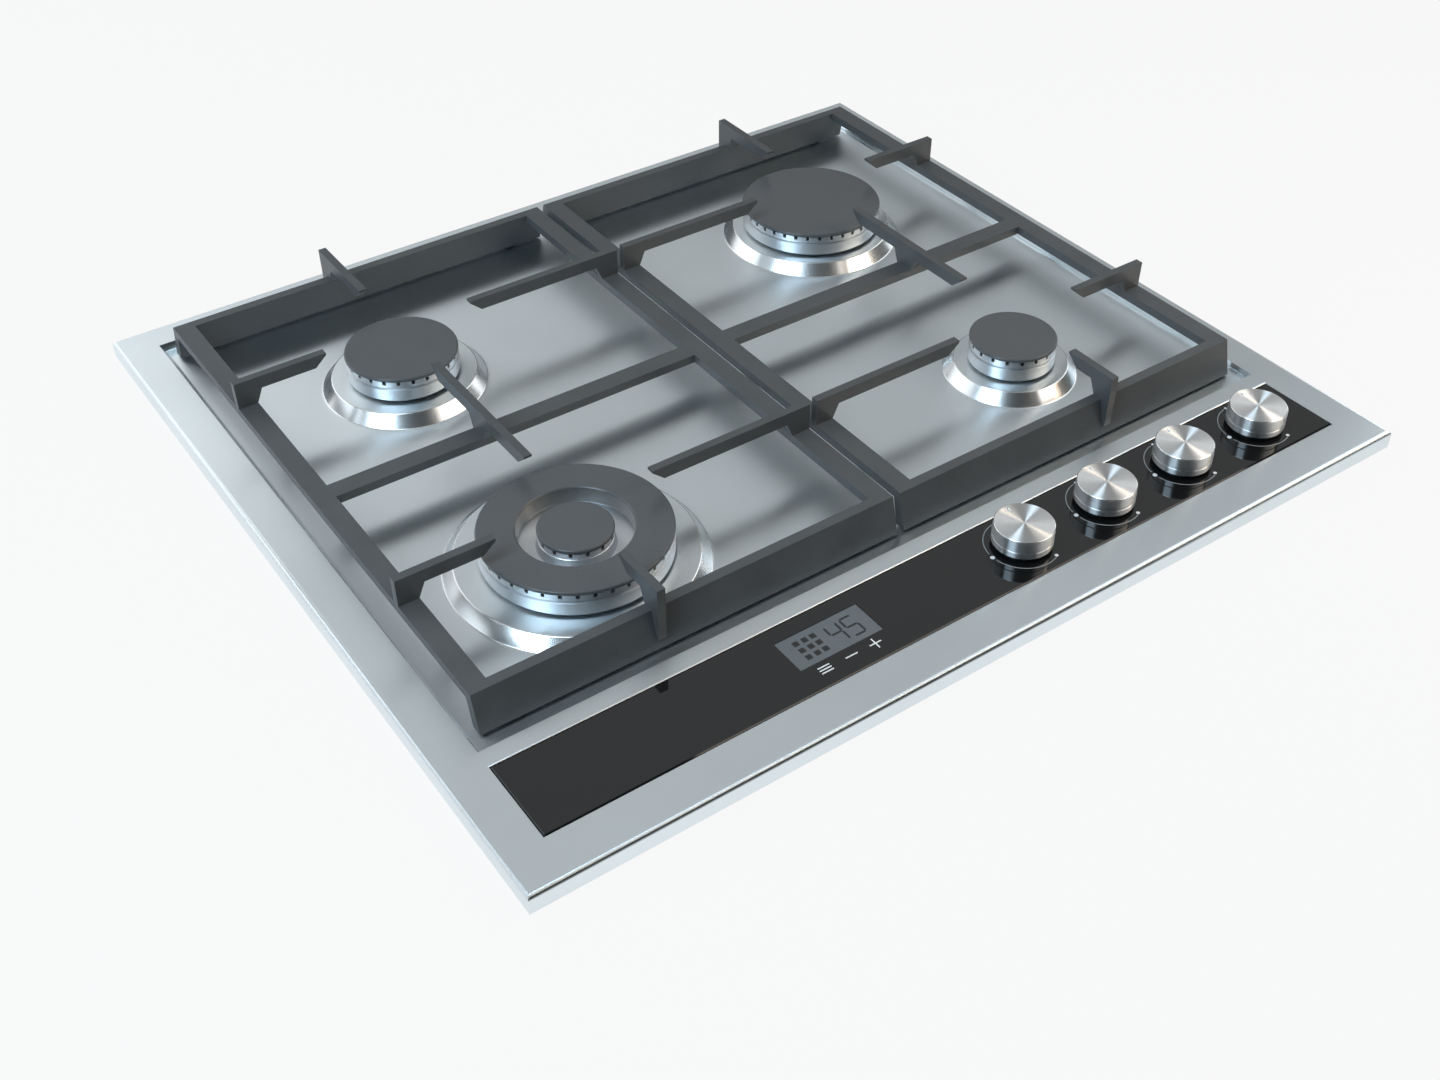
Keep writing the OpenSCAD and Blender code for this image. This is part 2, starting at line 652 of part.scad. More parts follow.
module tap_bonnets() color(steel) for (k = [0:3]) translate([tap_x[k], tap_y, 0]) {
    difference() {
        centred_box(tap_w, tap_w - 6, tap_top_z, tap_top_z + bonnet_t);
        translate([0, 0, tap_top_z - 1]) cylinder(r = spindle_r + run_fit, h = bonnet_t + 2);
    }
    for (x = [-1, 1]) translate([x * (tap_w / 2 - 2.6), 0, tap_top_z - 5])
        cylinder(r = 1.15, h = 5 + eps, $fn = 24);
    for (x = [-1, 1]) translate([x * (tap_w / 2 - 2.6), 0, tap_top_z + bonnet_t])
        cylinder(r = 2.2, h = 1.4, $fn = 24);
}

// A tube at one height along axis-parallel runs, with round bends; dirs are unit steps
module quarter_bend(corner, d_in, d_out, bend, r) {
    centre = corner - d_in * bend + d_out * bend;
    a_in = atan2(-d_out.y, -d_out.x);
    a_out = atan2(d_in.y, d_in.x);
    turn = d_in.x * d_out.y - d_in.y * d_out.x;
    translate([centre.x, centre.y, 0]) rotate(turn > 0 ? a_in : a_out)
        rotate_extrude(angle = 90) translate([bend, 0]) circle(r = r, $fn = 32);
}

function unit(v) = v / norm(v);

module bent_tube(points, z, r, bend) {
    last = len(points) - 1;
    translate([0, 0, z]) {
        for (i = [0:last - 1]) {
            step = unit(points[i + 1] - points[i]);
            start = points[i] + (i == 0 ? 0 : bend) * step;
            stop = points[i + 1] - (i == last - 1 ? 0 : bend) * step;
            translate([start.x, start.y, 0]) rotate([0, 90, atan2(step.y, step.x)])
                cylinder(r = r, h = norm(stop - start), $fn = 32);
        }
        for (i = [1:1:last - 1])
            quarter_bend(points[i], unit(points[i] - points[i - 1]), unit(points[i + 1] - points[i]),
                bend, r);
    }
}

inlet_body = 22;
// Undercut where the inlet's thread meets its block
inlet_relief = 1.5;
rail_start = tap_x[0] - 24;
rail_path = [[rail_start, rail_y], [supply_x, rail_y], [supply_x, inlet_y - inlet_body / 2]];
rail_bore_path = [[rail_start + 3, rail_y], [supply_x, rail_y], [supply_x, inlet_y]];
module gas_rail() color(steel) difference() {
    bent_tube(rail_path, rail_z, rail_r, rail_bend);
    bent_tube(rail_bore_path, rail_z, rail_r - tube_wall, rail_bend);
    for (k = [0:3]) translate([tap_x[k], rail_y, rail_z]) rotate([90, 0, 0])
        cylinder(r = neck_r + neck_gap, h = rail_r + 2);
}

bracket_t = 1.5;
bracket_w = 16;

// Saddle brackets that carry the rail on the tray's floor
module rail_brackets() color(steel) for (x = [(tap_x[0] + tap_x[1]) / 2, (tap_x[2] + tap_x[3]) / 2])
    translate([x, rail_y, 0]) difference() {
        union() {
            centred_box(bracket_w, 2 * rail_r + 3, sheet_t, rail_z - rail_r * 0.4);
            translate([0, rail_r + 6, 0]) centred_box(bracket_w, 14, sheet_t, sheet_t + bracket_t);
        }
        translate([0, 0, rail_z]) rotate([0, 90, 0])
            cylinder(r = rail_r + 0.1, h = bracket_w + 2, center = true);
        centred_box(bracket_w - 2 * bracket_t, 2 * rail_r + 5, sheet_t + bracket_t, rail_z - rail_r - 1.5);
        translate([0, rail_r + 7.5, 0]) cylinder(r = screw_r, h = 10, $fn = 24);
    }

// Brass elbow that turns the supply down; its stub carries the gas thread
module gas_inlet() color(brass) translate([supply_x, inlet_y, 0]) difference() {
    union() {
        centred_box(inlet_body, inlet_body, inlet_block_z, rail_z + rail_r + 1.5);
        translate([0, 0, inlet_block_z - inlet_len]) cylinder(r = inlet_r, h = inlet_len - inlet_relief);
        translate([0, 0, inlet_block_z - inlet_len]) cylinder(r = inlet_r - 1.2, h = inlet_len + 1);
    }
    translate([0, 0, -1]) cylinder(r = inlet_r - 3.4, h = rail_z + 1);
    translate([0, 0, rail_z]) rotate([90, 0, 0]) cylinder(r = rail_r - tube_wall, h = inlet_body);
}
inlet_block_z = rail_z - rail_r + 1;

// A feed pipe runs back from its tap, across, and back again into the burner's cup
function feed_turn_y(k) = k % 2 == 0 ? front_y - cup_base_r - pipe_bend * 2 - 26 : cross_y;
function feed_route(k, from, to) = [
    [tap_x[k], tap_y + tap_w / 2 + 3 - from], [tap_x[k], feed_turn_y(k)],
    [burner_at[fed_by_tap[k]].x, feed_turn_y(k)], [burner_at[fed_by_tap[k]].x, cup_face_y(k) + to]];
function cup_face_y(k) = burner_at[fed_by_tap[k]].y - cup_base_r;

module feed_pipe(k) color([0.8, 0.81, 0.83]) difference() {
    bent_tube(feed_route(k, pipe_socket - 0.5, pipe_socket - 0.5), pipe_z, pipe_r, feed_bend(k));
    bent_tube(feed_route(k, pipe_socket + 1, pipe_socket + 1), pipe_z, pipe_r - tube_wall, feed_bend(k));
}
// The third pipe's side step is short, so its bends are tight
function feed_bend(k) = min(pipe_bend, abs(tap_x[k] - burner_at[fed_by_tap[k]].x) / 2 - 0.5);
module feed_pipe_1() feed_pipe(0);
module feed_pipe_2() feed_pipe(1);
module feed_pipe_3() feed_pipe(2);
module feed_pipe_4() feed_pipe(3);

// Half-section of a burner's cup: flange, bowl and solid base
function cup_half(i) = [
    [0, cup_low_z], [cup_base_r, cup_low_z], [cup_base_r, cup_floor_z],
    [cap_r[i] - cup_hole_in - cup_side_gap, cup_shoulder_z],
    [cap_r[i] - cup_hole_in - cup_side_gap, zone_z],
    [cap_r[i] - cup_flange_in, zone_z], [cap_r[i] - cup_flange_in, cup_top_z],
    [cup_mouth_r(i), cup_top_z], [cup_mouth_r(i), cup_shoulder_z + 1.5],
    [cup_base_r - cup_bore_in, cup_floor_z], [0, cup_floor_z]];
function cup_mouth_r(i) = cap_r[i] - cup_hole_in - cup_side_gap - cup_bore_in;

module cup(i) color([0.62, 0.63, 0.65]) difference() {
    translate([burner_at[i].x, burner_at[i].y, 0]) difference() {
        rotate_extrude($fn = 96) polygon(cup_half(i));
        translate([0, 0, pipe_z]) cylinder(r = injector_r, h = cup_floor_z);
        translate([0, -cup_base_r - 1, pipe_z]) rotate([-90, 0, 0])
            cylinder(r = pipe_r + pipe_gap, h = pipe_socket + 1);
        translate([0, -cup_base_r, pipe_z]) rotate([-90, 0, 0]) cylinder(r = 1.5, h = cup_base_r, $fn = 32);
    }
    at_cup_screws(i) translate([0, 0, zone_z - 1]) {
        cylinder(r = screw_r + screw_gap, h = 4, $fn = 24);
        translate([0, 0, cup_flange_t]) cylinder(r = screw_head_r + screw_gap, h = 3, $fn = 24);
    }
}
module cup_rear_left() cup(0);
module cup_front_left() cup(1);
module cup_rear_right() cup(2);
module cup_front_right() cup(3);

module cup_screws() color(steel) for (i = [0:3]) at_cup_screws(i) {
    translate([0, 0, zone_z - 6]) cylinder(r = screw_r, h = 6 + cup_flange_t - 1, $fn = 24);
    translate([0, 0, cup_top_z - 1]) cylinder(r = screw_head_r, h = 0.9, $fn = 24);
}

injector_r = 3;
injector_hex_r = 4.6;

module injectors() color(brass)
    for (i = [0:3]) translate([burner_at[i].x, burner_at[i].y, 0]) difference() {
        union() {
            translate([0, 0, cup_floor_z - 5]) cylinder(r = injector_r - 0.05, h = 6);
            translate([0, 0, cup_floor_z]) cylinder(r = injector_hex_r, h = 4, $fn = 6);
            translate([0, 0, cup_floor_z + 4 - eps]) cylinder(r1 = 3.4, r2 = 2, h = 2.5 + eps, $fn = 32);
        }
        translate([0, 0, cup_floor_z - 6]) cylinder(r = 1.6, h = 9, $fn = 24);
        translate([0, 0, cup_floor_z]) cylinder(r = 0.5, h = 9, $fn = 24);
    }

head_skirt_in = 0.3;
head_tier_in = 1;
head_wall = 5;
head_floor_t = 3;
tier_z = head_top_z - slot_h - 1.8;
spigot_deep = 3;

// Outer outline of a head, from its seat up to its rim: skirt, groove, slotted tier
function head_outline(r) = [
    [r - head_skirt_in, cup_top_z], [r - head_skirt_in + 0.2, tier_z - 0.9],
    [r - head_tier_in - 0.7, tier_z - 0.6],
    [r - head_tier_in - 0.7, tier_z - 0.2], [r - head_tier_in, tier_z], [r - head_tier_in, head_top_z],
    [r - head_tier_in - 2.5, head_top_z], [r - head_tier_in - 2.5, seat_z],
    [r - head_tier_in - head_wall, seat_z]];

// Ring of flame slots cut through a wall
module slots(n, r_in, r_out, top) {
    for (s = [0:n - 1]) rotate(s * 360 / n)
        translate([r_in, -slot_w / 2, top - slot_h]) cube([r_out - r_in, slot_w, slot_h + 2]);
}

// Round head: mixing tube, spigot into the cup, floor and slotted wall
module round_head(i) color([0.72, 0.73, 0.75]) translate([burner_at[i].x, burner_at[i].y, 0]) difference() {
    rotate_extrude($fn = 96) polygon(concat(
        [[neck_tube_r, cup_top_z - 8], [neck_tube_r + neck_wall, cup_top_z - 8],
         [neck_tube_r + neck_wall, cup_top_z],
         [cup_mouth_r(i) - lift_fit - 2, cup_top_z],
         [cup_mouth_r(i) - lift_fit - 2, cup_top_z - spigot_deep],
         [cup_mouth_r(i) - lift_fit, cup_top_z - spigot_deep], [cup_mouth_r(i) - lift_fit, cup_top_z]],
        head_outline(cap_r[i]),
        [[cap_r[i] - head_tier_in - head_wall, cup_top_z + head_floor_t],
         [neck_tube_r + neck_wall, cup_top_z + head_floor_t], [neck_tube_r + neck_wall, tier_z - 2],
         [neck_tube_r, tier_z - 2]]));
    slots(slot_n[i], cap_r[i] - head_tier_in - head_wall - 1, cap_r[i] + 1, head_top_z);
}
module head_rear_left() round_head(0);
module head_rear_right() round_head(2);
module head_front_right() round_head(3);

hub_r = inner_cap_r - 0.6;
hub_wall = 4;
ring_wall = 2.4;
ring_in_r = ring_hole_r + 1.2;
dish_z = cup_top_z + head_floor_t;
inner_seat_z = seat_z - 0.4;

// Ring head: slotted hub in the middle, open dish round it, slotted outer ring
module head_front_left() color([0.72, 0.73, 0.75])
    translate([burner_at[1].x, burner_at[1].y, 0]) difference() {
        rotate_extrude($fn = 96) polygon(concat(
            [[neck_tube_r, cup_top_z - 8], [neck_tube_r + neck_wall, cup_top_z - 8],
         [neck_tube_r + neck_wall, cup_top_z],
             [cup_mouth_r(1) - lift_fit - 2, cup_top_z],
             [cup_mouth_r(1) - lift_fit - 2, cup_top_z - spigot_deep],
             [cup_mouth_r(1) - lift_fit, cup_top_z - spigot_deep], [cup_mouth_r(1) - lift_fit, cup_top_z]],
            head_outline(cap_r[1]),
            [[cap_r[1] - head_tier_in - head_wall, dish_z], [ring_in_r + ring_wall, dish_z],
             [ring_in_r + ring_wall, seat_z], [ring_in_r, seat_z], [ring_in_r, dish_z + 1],
             [hub_r + 1.6, dish_z], [hub_r + 0.4, tier_z], [hub_r, tier_z + 0.2],
             [hub_r, inner_seat_z - cap_gap],
             [hub_r - 2, inner_seat_z - cap_gap], [hub_r - 2, inner_seat_z], [hub_r - hub_wall, inner_seat_z],
             [hub_r - hub_wall, dish_z], [neck_tube_r + neck_wall, dish_z],
             [neck_tube_r + neck_wall, tier_z - 2],
             [neck_tube_r, tier_z - 2]]));
        slots(slot_n[1], cap_r[1] - head_tier_in - head_wall - 1, cap_r[1] + 1, head_top_z);
        slots(inner_slot_n, hub_r - hub_wall - 1, hub_r + 1, inner_seat_z - cap_gap);
    }

cap_round = 1.1;

// Rounded top edge of a cap at radius r
function cap_edge(r, top) = [for (a = [90:-18:0])
    [r - cap_round + cap_round * cos(a), top - cap_round + cap_round * sin(a)]];

// Round cap with a locating ring under it
module round_cap(i) color(dark_iron) translate([burner_at[i].x, burner_at[i].y, 0])
    rotate_extrude($fn = 96) polygon(concat(
        [[0, cap_top_z]], cap_edge(cap_r[i], cap_top_z),
        [[cap_r[i], seat_z + 0.3], [cap_r[i] - 0.3, seat_z], [locate_r(cap_r[i]), seat_z],
         [locate_r(cap_r[i]), seat_z - 2], [locate_r(cap_r[i]) - 2, seat_z - 2],
         [locate_r(cap_r[i]) - 2, seat_z],
         [0, seat_z]]));
function locate_r(r) = r - head_tier_in - head_wall - lift_fit;
module cap_rear_left() round_cap(0);
module cap_rear_right() round_cap(2);
module cap_front_right() round_cap(3);

lip_low_z = dish_z + 3;

// Ring cap: its inner edge turns down into the dish
module cap_front_left() color(dark_iron) translate([burner_at[1].x, burner_at[1].y, 0])
    rotate_extrude($fn = 96) polygon(concat(
        cap_edge(cap_r[1], cap_top_z),
        [[cap_r[1], seat_z + 0.3], [cap_r[1] - 0.3, seat_z], [ring_in_r - lift_fit, seat_z],
         [ring_in_r - lift_fit, lip_low_z], [ring_hole_r - 0.6, lip_low_z], [ring_hole_r, seat_z - 0.5],
         [ring_hole_r + 0.1, cap_top_z - 0.8], [ring_hole_r + 0.9, cap_top_z]]));

module cap_inner() color(dark_iron) translate([burner_at[1].x, burner_at[1].y, 0])
    rotate_extrude($fn = 96) polygon(concat(
        [[0, inner_seat_z + cap_t]], cap_edge(inner_cap_r, inner_seat_z + cap_t),
        [[inner_cap_r, inner_seat_z + 0.3], [inner_cap_r - 0.3, inner_seat_z],
         [hub_r - hub_wall - lift_fit, inner_seat_z], [hub_r - hub_wall - lift_fit, inner_seat_z - 2],
         [hub_r - hub_wall - lift_fit - 2, inner_seat_z - 2],
         [hub_r - hub_wall - lift_fit - 2, inner_seat_z],
         [0, inner_seat_z]]));

probe_top_z = zone_z + 7;

// Ceramic spark plugs, one beside each burner, with a steel pin
module igniters() color([0.93, 0.92, 0.88]) for (i = [0:3]) at_probe(i, igniter_angle) {
    translate([0, 0, probe_low_z]) cylinder(r = probe_r, h = probe_top_z - probe_low_z, $fn = 32);
    translate([0, 0, under_z - 4]) cylinder(r = probe_r + 1, h = 3, $fn = 32);
    translate([0, 0, probe_top_z - eps]) cylinder(r = 0.8, h = 3 + eps, $fn = 24);
}

// Flame sensors: a slim copper probe in a threaded sleeve
module flame_sensors() color([0.72, 0.45, 0.3]) for (i = [0:3]) at_probe(i, sensor_angle) {
    translate([0, 0, sensor_low_z]) cylinder(r = probe_r, h = zone_z + 2 - sensor_low_z, $fn = 32);
    translate([0, 0, zone_z + 2 - eps]) cylinder(r = 1.5, h = 6 + eps, $fn = 32);
    translate([0, 0, zone_z - sheet_t - 3.5]) cylinder(r = probe_r + 1.4, h = 3, $fn = 6);
}

box_x = -tray_x + 53;
box_y = cross_y - 20;
box_w = 72;
box_d = 44;
box_h = 24;

module ignition_box() color([0.9, 0.9, 0.88]) translate([box_x, box_y, 0]) {
    centred_box(box_w, box_d, sheet_t, sheet_t + box_h);
    for (side = [-1, 1]) translate([side * (box_w / 2 + 4), 0, 0]) difference() {
        centred_box(10, 14, sheet_t, sheet_t + 2);
        translate([side, 0, 0]) cylinder(r = screw_r, h = 10, $fn = 24);
    }
    for (n = [0:3]) translate([terminal_x(n), 0, sheet_t + box_h - eps])
        cylinder(r = 3, h = terminal_h + eps, $fn = 32);
}

lead_r = 1.25;
lead_z = pipe_z + pipe_r + lead_r + 0.75;
// Which of the box's terminals feeds each burner, so that no two leads cross
lead_terminal = [1, 3, 0, 2];
terminal_h = 4;
function terminal_x(n) = -24 + 16 * n;

function probe_foot(i, angle) = burner_at[i] + (cap_r[i] + probe_out) * [cos(angle), sin(angle)];

// A lead along straight runs between points
module run_lead(points, r) {
    for (p = [0:len(points) - 2]) {
        span = points[p + 1] - points[p];
        translate(points[p]) rotate([0, acos(span.z / norm(span)), atan2(span.y, span.x)])
            cylinder(r = r, h = norm(span), $fn = 16);
        if (p > 0) translate(points[p]) sphere(r = r, $fn = 16);
    }
}

// High-voltage leads from the box's terminals to the feet of the igniters
module ignition_leads() color([0.6, 0.1, 0.1]) for (i = [0:3]) {
    foot = probe_foot(i, igniter_angle);
    start_x = box_x + terminal_x(lead_terminal[i]);
    run_lead([[start_x, box_y, sheet_t + box_h + terminal_h], [start_x, box_y, lead_z],
        [start_x, foot.y, lead_z], [foot.x, foot.y, lead_z], [foot.x, foot.y, probe_low_z]], lead_r);
}

sensor_lead_r = 1;
sensor_lead_z = sensor_low_z - 2.5;
sensor_end_z = tap_top_z - 4;
// How far beside its tap's axis each lead runs, on the side away from the cups it passes
sensor_side = [9, -9, 9, 9];

// Each flame sensor's lead runs under the pan, down behind its tap and into the tap's back
module sensor_leads() color([0.72, 0.45, 0.3]) for (k = [0:3]) {
    foot = probe_foot(fed_by_tap[k], sensor_angle);
    lane = tap_x[k] + sensor_side[k];
    back = tap_y + tap_w / 2;
    run_lead([[foot.x, foot.y, sensor_low_z], [foot.x, foot.y, sensor_lead_z],
        [lane, foot.y, sensor_lead_z], [lane, back + 3, sensor_lead_z], [lane, back + 3, sensor_end_z],
        [lane, back, sensor_end_z]], sensor_lead_r);
}

module cable_gland() color([0.12, 0.12, 0.12])
    translate([gland_x, tray_back, gland_z]) rotate([-90, 0, 0]) difference() {
        union() {
            translate([0, 0, -sheet_t - 6]) cylinder(r = gland_body_r, h = sheet_t + 12);
            translate([0, 0, eps]) cylinder(r = gland_body_r + 2, h = 4, $fn = 6);
            translate([0, 0, -sheet_t - 4]) cylinder(r = gland_body_r + 2, h = 4 - eps, $fn = 6);
        }
        translate([0, 0, -20]) cylinder(r = gland_r, h = 40);
    }

// Outline of a finger seen from the side: u runs from its outer end, root is the bar's inner edge
function finger_outline(root, reach, foot_z) = [
    [0, foot_z], [0, finger_top_z], [reach, finger_top_z], [reach, finger_top_z - tip_nose],
    [reach - tip_slant, finger_low_z], [root + root_run, finger_low_z], [root, bar_top_z],
    [root, bar_top_z - 2]];

// A finger standing on the frame from a point, running along an angle
module finger(at, angle, root, reach, foot_z) {
    translate([at.x, at.y, 0]) rotate([90, 0, angle]) linear_extrude(finger_t, center = true)
        polygon(finger_outline(root, reach, foot_z));
}

// Cross-section of the front apron: slopes outward to its foot
function apron_section() = [
    [frame_front, bar_top_z], [frame_front + apron_t, bar_top_z],
    [frame_front + apron_t - apron_run + 1, apron_z],
    [frame_front - apron_run, apron_z]];
function back_section() = [
    [frame_back, bar_top_z], [frame_back - apron_t, bar_top_z],
    [frame_back - apron_t + apron_run - 1, apron_z],
    [frame_back + apron_run, apron_z]];

finger_foot = 6;
foot_stem_r = 1.8;
foot_stem_h = 4;
foot_in = 22;

// Feet under the ends of both aprons
module at_feet() {
    for (x = [grate_x0 + foot_in, grate_x1 - foot_in],
        y = [frame_front - apron_run + 4, frame_back + apron_run - 4])
        translate([x, y, 0]) children();
}

// The right-hand grate; the left one is its mirror image
module grate() difference() {
    union() {
        for (section = [apron_section(), back_section()])
            translate([grate_x0, 0, 0]) rotate([90, 0, 90]) linear_extrude(grate_w) polygon(section);
        for (x = [grate_x0, grate_x1 - bar_w])
            translate([x, frame_front + 1, bar_top_z - bar_t])
                cube([bar_w, frame_back - frame_front - 2, bar_t]);
        translate([grate_x0 + 1, cross_y - bar_w / 2, bar_top_z - bar_t]) cube([grate_w - 2, bar_w, bar_t]);
        for (y = [rear_y, front_y]) {
            finger([grate_x0, y], 0, bar_w, burner_x - finger_reach - grate_x0, bar_top_z - 2);
            finger([grate_x1, y], 180, bar_w, grate_x1 - burner_x - finger_reach, bar_top_z - 2);
        }
        finger([burner_x, frame_front - apron_run], 90, apron_run + apron_t,
            front_y - finger_reach - frame_front + apron_run, apron_z + finger_foot);
        finger([burner_x, frame_back + apron_run], -90, apron_run + apron_t,
            frame_back + apron_run - rear_y - finger_reach, apron_z + finger_foot);
        middle_finger();
    }
    at_feet() translate([0, 0, apron_z - 1])
        cylinder(r = foot_stem_r + 0.05, h = foot_stem_h + 1.2, $fn = 32);
}

// Double-ended finger across the cross bar
module middle_finger() {
    half = (rear_y - front_y) / 2 - finger_reach;
    root = bar_w / 2;
    translate([burner_x, cross_y, 0]) rotate([90, 0, 90]) linear_extrude(finger_t, center = true) polygon([
        [-half, finger_top_z], [half, finger_top_z], [half, finger_top_z - tip_nose],
        [half - tip_slant, finger_low_z], [root + root_run, finger_low_z], [root, bar_top_z - 1],
        [-root, bar_top_z - 1], [-root - root_run, finger_low_z], [-half + tip_slant, finger_low_z],
        [-half, finger_top_z - tip_nose]]);
}

module grate_left() color(dark_iron) mirror([1, 0, 0]) grate();
module grate_right() color(dark_iron) grate();

module grate_feet() at_feet() {
    translate([0, 0, floor_z]) cylinder(r = foot_r, h = foot_t, $fn = 32);
    translate([0, 0, floor_z]) cylinder(r = foot_stem_r, h = foot_t + foot_stem_h, $fn = 32);
}
module grate_feet_left() color([0.1, 0.1, 0.1]) mirror([1, 0, 0]) grate_feet();
module grate_feet_right() color([0.1, 0.1, 0.1]) grate_feet();

top_plate();
control_glass();
display_panel();
timer_board();
touch_springs();
bottom_tray();
tray_nuts();
worktop_seal();
worktop_clamps();
clamp_screws();
knob_1();
knob_2();
knob_3();
knob_4();
knob_collars();
spindle_1();
spindle_2();
spindle_3();
spindle_4();
plug_1();
plug_2();
plug_3();
plug_4();
tap_body_1();
tap_body_2();
tap_body_3();
tap_body_4();
tap_bonnets();
gas_rail();
rail_brackets();
gas_inlet();
feed_pipe_1();
feed_pipe_2();
feed_pipe_3();
feed_pipe_4();
cup_rear_left();
cup_front_left();
cup_rear_right();
cup_front_right();
cup_screws();
injectors();
head_rear_left();
head_front_left();
head_rear_right();
head_front_right();
cap_rear_left();
cap_front_left();
cap_rear_right();
cap_front_right();
cap_inner();
igniters();
flame_sensors();
ignition_box();
ignition_leads();
sensor_leads();
cable_gland();
grate_left();
grate_right();
grate_feet_left();
grate_feet_right();
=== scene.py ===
import math

import bmesh
import bpy
from mathutils import Matrix, Vector


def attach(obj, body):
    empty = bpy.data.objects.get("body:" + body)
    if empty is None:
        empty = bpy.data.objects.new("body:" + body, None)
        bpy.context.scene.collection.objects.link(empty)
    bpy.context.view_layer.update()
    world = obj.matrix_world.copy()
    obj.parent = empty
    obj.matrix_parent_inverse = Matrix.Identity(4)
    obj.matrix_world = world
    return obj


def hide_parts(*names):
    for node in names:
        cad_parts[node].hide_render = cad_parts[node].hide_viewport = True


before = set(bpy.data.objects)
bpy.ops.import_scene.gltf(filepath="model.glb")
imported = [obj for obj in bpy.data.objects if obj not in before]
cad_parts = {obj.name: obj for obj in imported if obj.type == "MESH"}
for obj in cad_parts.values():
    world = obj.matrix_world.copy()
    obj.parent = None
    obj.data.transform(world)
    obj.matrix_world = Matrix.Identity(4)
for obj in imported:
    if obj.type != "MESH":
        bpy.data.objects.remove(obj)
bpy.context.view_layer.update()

mm = 0.001
plateSizes = {
    "width": 586, "depth": 526, "rimHeight": 11.5, "rimRound": 2.9, "sheet": 1, "flange": 14, "deck": 58,
    "glassX": 270, "glassFront": -237.5, "glassBack": -186.7, "panFront": -175.7, "panBack": 241.3,
    "panDepth": 5, "wallRun": 1.2, "fillet": 2.6, "zoneHeight": 7.5, "zoneBand": 6, "edge": 0.45,
    "pocketFlare": 0.4, "headHoleIn": 9, "sparkAngles": (38, 75), "sparkOut": 3, "sparkHole": 2.55,
    "tapHole": 9.1, "bandFrom": 7.5, "bandTo": 1}
deck = plateSizes["deck"]
panFloor = deck - plateSizes["panDepth"]
zoneTop = panFloor + plateSizes["zoneHeight"]
# each burner's middle, the radius of its cap and of its raised zone, and the number of its flame slots
burners = {
    "rear_left": {"x": -157, "y": 124.05, "cap": 34.5, "zone": 50.3, "slots": 24},
    "front_left": {"x": -157, "y": -80.45, "cap": 53.5, "zone": 73, "slots": 36},
    "rear_right": {"x": 157, "y": 124.05, "cap": 47.3, "zone": 60, "slots": 36},
    "front_right": {"x": 157, "y": -80.45, "cap": 27, "zone": 41.3, "slots": 18}}
tapX = [45, 107, 169, 231]
tapY = -211.6


def makeObject(name, mesh):
    piece = bpy.data.objects.new(name, mesh)
    bpy.context.scene.collection.objects.link(piece)
    return piece


def meshObject(name, vertices, faces):
    mesh = bpy.data.meshes.new(name)
    mesh.from_pydata([Vector(v) * mm for v in vertices], [], faces)
    mesh.validate()
    return makeObject(name, mesh)


def tidyNormals(piece):
    bm = bmesh.new()
    bm.from_mesh(piece.data)
    bmesh.ops.remove_doubles(bm, verts=bm.verts, dist=1e-6)
    bmesh.ops.recalc_face_normals(bm, faces=bm.faces)
    bm.to_mesh(piece.data)
    bm.free()
    return piece


def smoothByAngle(piece, degrees):
    # smooth faces with edges above the angle kept sharp, and broad faces kept flat
    bm = bmesh.new()
    bm.from_mesh(piece.data)
    limit = math.radians(degrees)
    for face in bm.faces:
        face.smooth = True
    for edge in bm.edges:
        edge.smooth = len(edge.link_faces) == 2 and edge.calc_face_angle(0) < limit
    bm.to_mesh(piece.data)
    bm.free()
    weighted = piece.modifiers.new("normals", "WEIGHTED_NORMAL")
    weighted.keep_sharp = True
    weighted.weight = 80
    return settle(piece)


def block(x0, y0, z0, x1, y1, z1):
    corners = [(x, y, z) for z in (z0, z1) for x, y in ((x0, y0), (x1, y0), (x1, y1), (x0, y1))]
    faces = [(3, 2, 1, 0), (4, 5, 6, 7)] + [(i, (i + 1) % 4, 4 + (i + 1) % 4, 4 + i) for i in range(4)]
    return meshObject("block", corners, faces)


def prism(outline, start, stop, place):
    # outline in (u, w), pushed from start to stop along t; place maps (u, w, t) to x, y, z
    count = len(outline)
    vertices = [place(u, w, t) for t in (start, stop) for u, w in outline]
    faces = [tuple(range(count)), tuple(range(2 * count - 1, count - 1, -1))]
    faces += [(i, i + count, (i + 1) % count + count, (i + 1) % count) for i in range(count)]
    return tidyNormals(meshObject("prism", vertices, faces))


def turned(profile, x, y, segments):
    # closed profile of (radius, height), turned round a vertical axis
    rings, vertices = [], []
    for radius, height in profile:
        if radius < 1e-6:
            rings.append([len(vertices)])
            vertices.append((x, y, height))
        else:
            rings.append(list(range(len(vertices), len(vertices) + segments)))
            for s in range(segments):
                angle = 2 * math.pi * s / segments
                vertices.append((x + radius * math.cos(angle), y + radius * math.sin(angle), height))
    faces = []
    for i, here in enumerate(rings):
        there = rings[(i + 1) % len(rings)]
        if len(here) == 1 and len(there) == 1:
            continue
        for s in range(segments):
            e = (s + 1) % segments
            corners = ([here[0]] if len(here) == 1 else [here[s], here[e]])
            corners += ([there[0]] if len(there) == 1 else [there[e], there[s]])
            faces.append(tuple(corners))
    return tidyNormals(meshObject("turned", vertices, faces))


